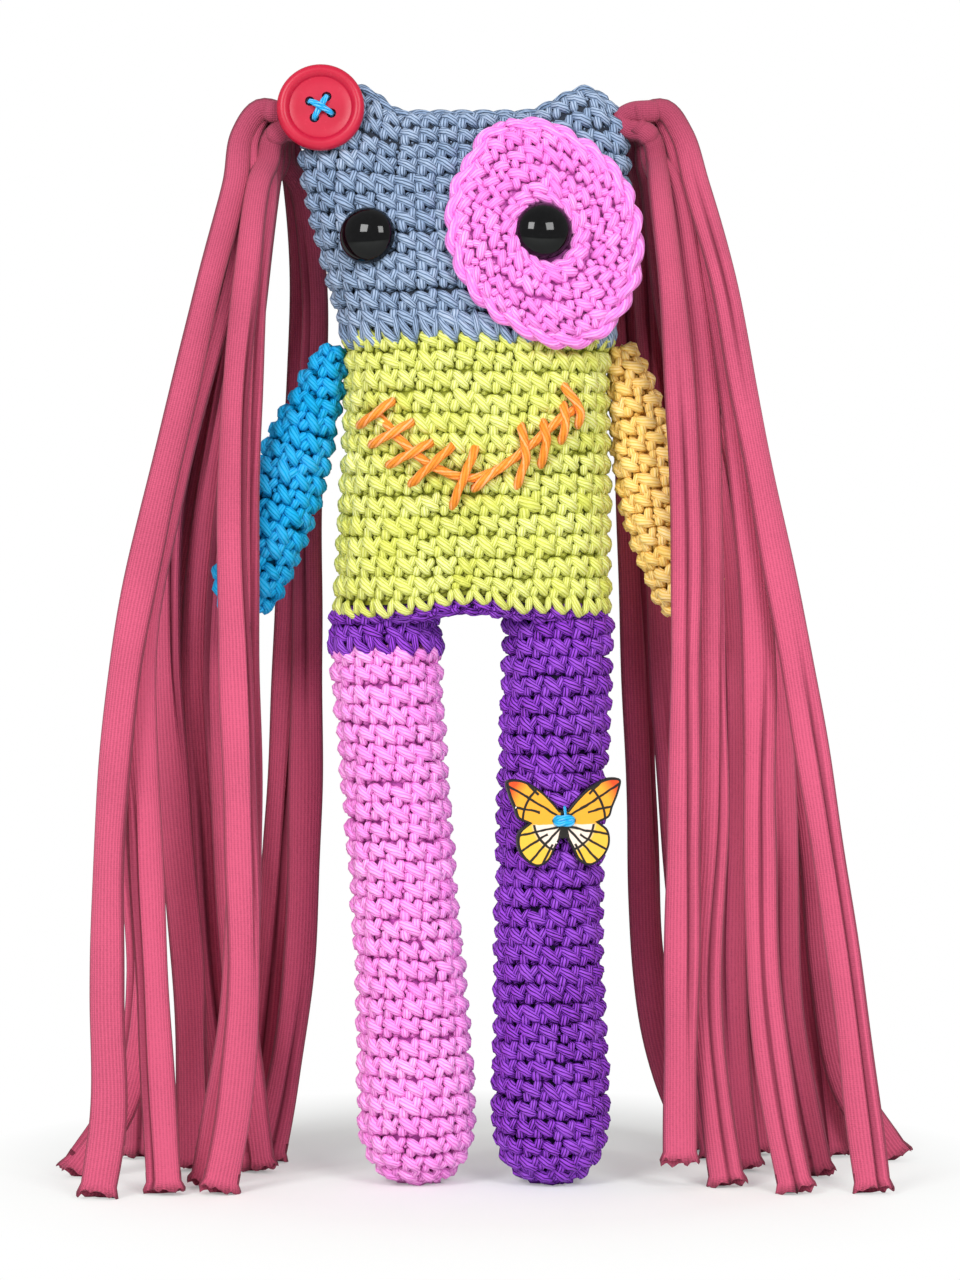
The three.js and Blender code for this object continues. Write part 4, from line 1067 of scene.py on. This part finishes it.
def buildMouth():
    def lay(place, over):
        return (place[0], float(-frontDepth(place[0], place[1])) - over, place[1])
    fabric = newFabric()
    heights = [mouth["sunk"], *[mouth["stand"]] * (len(mouthLine) - 2), mouth["sunk"]]
    addYarn(fabric, [lay(p, over) for p, over in zip(mouthLine, heights)], mouth["radius"])
    for stitchPlaces in mouthStitches:
        first, last = np.array(stitchPlaces[0]), np.array(stitchPlaces[-1])
        middle = np.array(stitchPlaces[1]) if len(stitchPlaces) == 3 else (first + last) / 2
        top = mouth["stand"] + mouth["over"]
        points = [(first, mouth["sunk"]), ((first * 3 + middle) / 4, mouth["stand"]), (middle, top),
                  ((last * 3 + middle) / 4, mouth["stand"]), (last, mouth["sunk"])]
        addYarn(fabric, [lay(p, over) for p, over in points], mouth["radius"],
                tone=chance.uniform(0.95, 1.05))
    finishPiece(fabric, "mouth", "yarn_mouth_orange", "body", "mouth_stitching")


buildMouth()
print("mouth ready")


# Turned and drilled pieces
def makeActive(piece):
    deselectAll()
    bpy.context.view_layer.objects.active = piece
    piece.select_set(True)


def setDown(piece, point, turn):
    # moves a finished piece to its place, and leaves the object at the origin
    makeActive(piece)
    piece.matrix_world = Matrix.Translation(Vector(point + stand) * metre) @ turn
    bpy.ops.object.transform_apply(location=True, rotation=True, scale=True)


def facing(normal, spin=0.0):
    return Vector(normal).to_track_quat("Z", "Y").to_matrix().to_4x4() @ Matrix.Rotation(spin, 4, "Z")


def drill(piece, x, y, radius, sides):
    deselectAll()
    bpy.ops.mesh.primitive_cylinder_add(vertices=sides, radius=radius * metre, depth=12 * metre,
                                        location=(x * metre, y * metre, 0))
    tool = bpy.context.object
    makeActive(piece)
    cut = piece.modifiers.new("cut", "BOOLEAN")
    cut.operation, cut.solver, cut.object = "DIFFERENCE", "EXACT", tool
    bpy.ops.object.modifier_apply(modifier=cut.name)
    bpy.data.objects.remove(tool)


def turnedPiece(name, profile, sides=64):
    # a disc that is extruded and scaled step by step along its axis
    deselectAll()
    first = profile[0]
    bpy.ops.mesh.primitive_circle_add(vertices=sides, radius=first[0] * metre, fill_type="NGON",
                                      location=(0, 0, first[1] * metre))
    piece = bpy.context.object
    piece.name = piece.data.name = name
    bpy.ops.object.transform_apply(location=True)
    bpy.ops.object.mode_set(mode="EDIT")
    bpy.ops.mesh.select_all(action="SELECT")
    bpy.ops.mesh.flip_normals()
    radius, height = first
    for nextRadius, nextHeight in profile[1:]:
        rise = (0, 0, (nextHeight - height) * metre)
        bpy.ops.mesh.extrude_region_move(TRANSFORM_OT_translate={"value": rise})
        share = nextRadius / radius
        bpy.ops.transform.resize(value=(share, share, 1), center_override=(0, 0, nextHeight * metre))
        radius, height = nextRadius, nextHeight
    bpy.ops.mesh.select_all(action="SELECT")
    bpy.ops.mesh.normals_make_consistent(inside=False)
    bpy.ops.object.mode_set(mode="OBJECT")
    bpy.ops.object.shade_smooth_by_angle(angle=math.radians(40))
    return piece


eye = {"radius": 8.5, "dome": 6.2, "rim": 0.9, "left": (-33.8, 284.4), "right": (17.6, 285),
       "lifts": {"left": 0.0, "right": 2.4}}


def buildEyes():
    n = Nodes("eye_black_plastic", Roughness=0.06, Specular_IOR_Level=0.24)
    dust = n.noise(900.0, 3.0)
    black = n.paint(n.mix(n.span(dust, 0.4, 0.8), "#020203", "#08080a"),
                    n.bump(n.noise(40.0, 1.0), 0.02, 0.3))
    r, rim, dome = eye["radius"], eye["rim"], eye["dome"]
    profile = [(2.0, -2.0), (2.0, 0.0), (r - 0.5, 0.0), (r - 0.1, 0.25), (r, rim * 0.6), (r - 0.12, rim)]
    for a in np.radians(np.linspace(8, 88, 13)):
        profile.append(((r - 0.12) * math.cos(a), rim + (dome - rim) * math.sin(a)))
    for side in ("left", "right"):
        piece = turnedPiece(f"eye_ball_{side}", profile)
        point, normal = frontSeat(eye[side], r)
        setDown(piece, point + normal * eye["lifts"][side], facing(normal))
        piece.data.materials.append(black)
        claim(piece, "body", f"eye_{side}")


buildEyes()
print("eyes ready")

# Button: a raised rim round a dish with four holes
button = {"radius": 13, "thickness": 4, "dish": 9.2, "dishDepth": 1.5, "hole": 1.45, "spacing": 5.2,
          "turn": 15.6, "lean": 9, "thread": 0.52, "shift": (0.7, 0, -1.4)}


def buttonSeat():
    lean = math.radians(button["lean"])
    normal = np.array([0.0, -math.cos(lean), math.sin(lean)])
    middle = np.mean(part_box("button"), axis=0) / metre - stand + np.array(button["shift"])
    return middle - normal * button["thickness"] / 2, normal


def buildButton():
    r, t, dish = button["radius"], button["thickness"], button["dish"]
    floor = t - button["dishDepth"]
    profile = [(r - 1.9, 0.0), (r - 1.0, 0.15), (r - 0.35, 0.6), (r, 1.4), (r, 2.5), (r - 0.25, 3.2),
               (r - 0.8, 3.75), (r - 1.5, t), (r - 2.3, t), (dish + 0.9, 3.7), (dish + 0.3, 3.1),
               (dish, floor + 0.15), (dish - 0.4, floor), (dish * 0.7, floor), (dish * 0.35, floor)]
    piece = turnedPiece("button_disc", profile, 72)
    half = button["spacing"] / 2
    corners = [(-half, -half), (half, -half), (half, half), (-half, half)]
    for x, y in corners:
        drill(piece, x, y, button["hole"], 28)
    n = Nodes("button_red_plastic", Roughness=0.36, Specular_IOR_Level=0.3)
    worn = n.noise(900.0, 3.0, 0.6)
    cloud = n.noise(120.0, 2.0)
    colour = n.mix(n.span(cloud, 0.3, 0.7), "#ae1030", "#b81838")
    colour = n.mix(n.span(worn, 0.62, 0.8, 0.0, 0.25), colour, "#dc5468")
    piece.data.materials.append(n.paint(colour, n.bump(worn, 0.03, 0.5)))
    bpy.ops.object.shade_smooth_by_angle(angle=math.radians(35))
    point, normal = buttonSeat()
    turn = math.radians(button["turn"])
    setDown(piece, point, facing(normal, turn))
    claim(piece, "body", "button")

    # doubled thread crossed through the holes, the second one over the first
    fabric = newFabric()
    right = np.array([1.0, 0.0, 0.0])
    across = right * math.cos(turn) + np.cross(normal, right) * math.sin(turn)
    high = np.cross(normal, across)
    thick = button["thread"]
    for first, last, rise in ((0, 2, 0.2), (1, 3, 1.1)):
        start, end = np.array(corners[first]), np.array(corners[last])
        beside = np.array([-(end - start)[1], (end - start)[0]]) / np.linalg.norm(end - start)
        low, over = floor + 0.2, floor + thick + 0.35
        # share of the way from hole to hole, and height
        steps = [(0, -1.6), (0, low), (0.12, over), (0.5, over - 0.05 + rise), (0.88, over), (1, low),
                 (1, -1.6)]
        for away in (-1, 1):
            shift = beside * away * thick * 0.95
            points = []
            for share, height in steps:
                flat = start + (end - start) * share + shift * (0.45 + 0.55 * math.sin(math.pi * share))
                points.append(point + across * flat[0] + high * flat[1] + normal * height)
            addYarn(fabric, points, thick, spacing=0.35, plies=2, twist=2.6, reference=tuple(normal))
    finishPiece(fabric, "button_cross", "thread_cyan", "body", "button_thread")


buildButton()
print("button ready")

# Butterfly: a thin painted plate with its own plain wing pattern
butterfly = {"centre": (24.9, 109.2), "shift": (-1.3, 0, 2.0), "yaw": 13, "size": 1.03, "thickness": 2,
             "rounding": 0.2, "edge": 0.72, "holes": 2.4, "hole": 1.2, "thread": 0.95, "antenna": 0.42}
# its paint, in millimetres from its middle: how uneven the lines are, the gap between the wings, the
# body's half width, a dark band, the red tips, the light inner part of the lower wings, and the veins' roots
pattern = {"uneven": 1.2, "wingsMeet": (-1.2, -1.0), "vein": 0.4, "body": (0.9, 1.3), "band": 9.2,
           "upperBand": 3.4, "tips": (15.0, 18.5), "inner": (8.6, 10.2), "upperRoot": (1.0, 1.0),
           "lowerRoot": (0.6, -1.6)}
upperWing = [[1.2, 3.0], [3.8, 6.0], [7.6, 9.4], [13, 12], [16.9, 11.6], [16.3, 7.8], [14.6, 3.6],
             [13.6, 0.8], [10.6, -0.7]]
lowerWing = [[13.2, -3], [13.7, -7], [11.8, -10.8], [8, -13.2], [4.6, -11.8], [2.4, -7.8], [1, -5.2]]
# veins from a root of each wing: degrees, and how far out each starts
upperVeins = [(31, 0), (13, 6.5), (45, 9.5)]
lowerVeins = [(-12, 0), (-30, 5), (-47, 0), (-62, 6), (-77, 0)]


def butterflyPlace():
    height = butterfly["centre"][1]
    centre, half = levelAt(rightLeg, height)
    yaw = math.radians(butterfly["yaw"])
    away = np.array([math.sin(yaw), -math.cos(yaw), 0.0])
    touch = np.array([centre, 0.0, 0.0]) + half * away
    along = butterfly["centre"][0] - touch[0]
    point = touch + away * 0.5 + np.array([along, along * math.tan(yaw), height])
    return point + np.array(butterfly["shift"]), away, np.array([math.cos(yaw), math.sin(yaw), 0.0])


def wingPaint(point, right):
    n = Nodes("butterfly_paint", Roughness=0.35, Specular_IOR_Level=0.4)
    places = n.placesFrom(tuple((point + stand) * metre))
    x = n.add("ShaderNodeVectorMath", 1, {"operation": "DOT_PRODUCT"}, i0=places, i1=tuple(right / metre))
    x = n.math("ABSOLUTE", x)
    y = n.times(n.add("ShaderNodeSeparateXYZ", 2, None, Vector=places), 1 / metre)
    uneven = n.math("MULTIPLY_ADD", n.noise(260.0, 2.0), pattern["uneven"], -pattern["uneven"] / 2)
    y = n.math("ADD", y, uneven)
    upper = n.span(y, *pattern["wingsMeet"])
    outOfReach = 9.0  # millimetres added to a vein's distance where it isn't drawn
    nearest = outOfReach

    def vein(rootX, rootY, degrees, start, otherWing):
        # distance to a line from a root, counted only on its own wing and past its start
        c, s = math.cos(math.radians(degrees)), math.sin(math.radians(degrees))
        fromX, fromY = n.less(x, rootX), n.less(y, rootY)
        off = n.math("ABSOLUTE", n.less(n.times(fromX, s), n.times(fromY, c)))
        ahead = n.math("ADD", n.times(fromX, c), n.times(fromY, s))
        short = n.times(n.math("LESS_THAN", ahead, start), outOfReach)
        return n.math("ADD", n.math("ADD", off, short), n.times(otherWing, outOfReach))

    for root, otherWing, veins in (("upperRoot", n.math("LESS_THAN", upper, 0.5), upperVeins),
                                   ("lowerRoot", n.math("GREATER_THAN", upper, 0.5), lowerVeins)):
        for degrees, start in veins:
            nearest = n.math("MINIMUM", nearest, vein(*pattern[root], degrees, start, otherWing))
    far = n.math("SQRT", n.math("ADD", n.math("POWER", x, 2.0), n.math("POWER", y, 2.0)))
    bandAt = n.math("MULTIPLY_ADD", upper, pattern["upperBand"], pattern["band"])
    band = n.math("ABSOLUTE", n.less(far, bandAt))
    width = pattern["vein"]
    line = n.span(n.math("MINIMUM", nearest, band), width * 0.7, width * 1.2, 1.0, 0.0)
    dark = n.math("MAXIMUM", line, n.span(x, *pattern["body"], 1.0, 0.0))  # veins and body
    top = n.mix(n.span(far, *pattern["tips"]), "#eda628", "#dc4a14")
    low = n.mix(n.span(far, *pattern["inner"]), "#efdccc", "#efbb3a")
    grain = n.noise(1500.0, 3.0)
    return n.paint(n.mix(dark, n.mix(upper, low, top), "#140d0a"), n.bump(grain, 0.03, 0.5))


def edgePaint():
    n = Nodes("butterfly_edge", Roughness=0.4, Specular_IOR_Level=0.4)
    specks = n.span(n.noise(750.0, 1.0), 0.74, 0.76, 0.0, 0.9)
    return n.paint(n.mix(specks, "#120c0a", "#f4efe6"))


def plainWood():
    n = Nodes("butterfly_wood", Roughness=0.7, Specular_IOR_Level=0.2)
    rings = n.add("ShaderNodeTexWave", 1, Vector=n.objectPlaces(), Scale=90.0, Distortion=3.0)
    return n.paint(n.mix(rings, "#c9a878", "#a88454"))


def buildButterfly():
    point, away, right = butterflyPlace()
    half = np.vstack([curveThrough(upperWing, 5), curveThrough([upperWing[-1], *lowerWing], 5)[1:]])
    outline = np.vstack([half, (half * [-1, 1])[::-1]]) * butterfly["size"]
    deselectAll()
    bpy.ops.mesh.primitive_circle_add(vertices=len(outline), radius=1, fill_type="NGON")
    piece = bpy.context.object
    piece.name = piece.data.name = "butterfly_plate"
    for vertex, (x, y) in zip(piece.data.vertices, outline):
        vertex.co = (x * metre, y * metre, 0)
    thickness, rounding = butterfly["thickness"], butterfly["rounding"]
    inset = rounding + 0.02
    bpy.ops.object.mode_set(mode="EDIT")
    bpy.ops.mesh.select_all(action="SELECT")
    bpy.ops.mesh.extrude_region_move(TRANSFORM_OT_translate={"value": (0, 0, thickness * metre)})
    bpy.ops.mesh.inset(thickness=inset * metre, depth=0.0, use_even_offset=True)
    bpy.ops.transform.translate(value=(0, 0, rounding * metre))
    bpy.ops.mesh.inset(thickness=(butterfly["edge"] - inset) * metre, depth=0.0, use_even_offset=True)
    bpy.ops.mesh.select_all(action="SELECT")
    bpy.ops.mesh.normals_make_consistent(inside=False)
    bpy.ops.object.mode_set(mode="OBJECT")
    for x in (-butterfly["holes"], butterfly["holes"]):
        drill(piece, x, 0, butterfly["hole"], 20)
    for material in (wingPaint(point, right), edgePaint(), plainWood()):
        piece.data.materials.append(material)
    high = (thickness + rounding / 2) * metre
    for face in piece.data.polygons:
        if face.normal.z > 0.9 and face.center.z > high:
            face.material_index = 0 if face.area > 5e-5 else 1
        else:
            face.material_index = 1 if face.center.z > high * 0.4 else 2
    setDown(piece, point, Matrix(np.column_stack([right, (0, 0, 1), away]).tolist()).to_4x4())
    claim(piece, "leg_right", "butterfly")

    # two threads from hole to hole, and a short one up from them
    fabric = newFabric()
    up = np.array([0.0, 0.0, 1.0])
    face, thick, hole = thickness + rounding, butterfly["thread"], butterfly["holes"]
    for shift in (-0.75, 0.75):
        steps = [(-hole, -0.6), (-hole, face), (-hole * 0.8, face + thick * 0.9), (0, face + thick * 1.05),
                 (hole * 0.8, face + thick * 0.9), (hole, face), (hole, -0.6)]
        points = [point + right * x + away * depth + up * shift * (1 if abs(x) < hole else 0.5)
                  for x, depth in steps]
        addYarn(fabric, points, thick, spacing=0.4, plies=2, twist=3.2, reference=tuple(away))
    points = [point + up * z + away * depth + right * 0.2
              for z, depth in ((0.8, face + 0.9), (2.6, face + 0.5), (4.4, face - 0.2))]
    addYarn(fabric, points, butterfly["antenna"], spacing=0.4, reference=(1, 0, 0))
    finishPiece(fabric, "butterfly_loop", "thread_cyan", "leg_right", "butterfly_thread")


buildButterfly()
print("butterfly ready")


# The washers keep their CAD shapes
def buildInside():
    n = Nodes("washer_plastic", Roughness=0.4, Specular_IOR_Level=0.4)
    grain = n.noise(1400.0, 2.0)
    washer = n.paint(n.mix(grain, "#dededb", "#f2f2f0"), n.bump(grain, 0.02, 0.5))
    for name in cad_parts:
        if "washer" in name:
            node = bpy.data.objects[name]
            node.data.materials.clear()
            node.data.materials.append(washer)


buildInside()
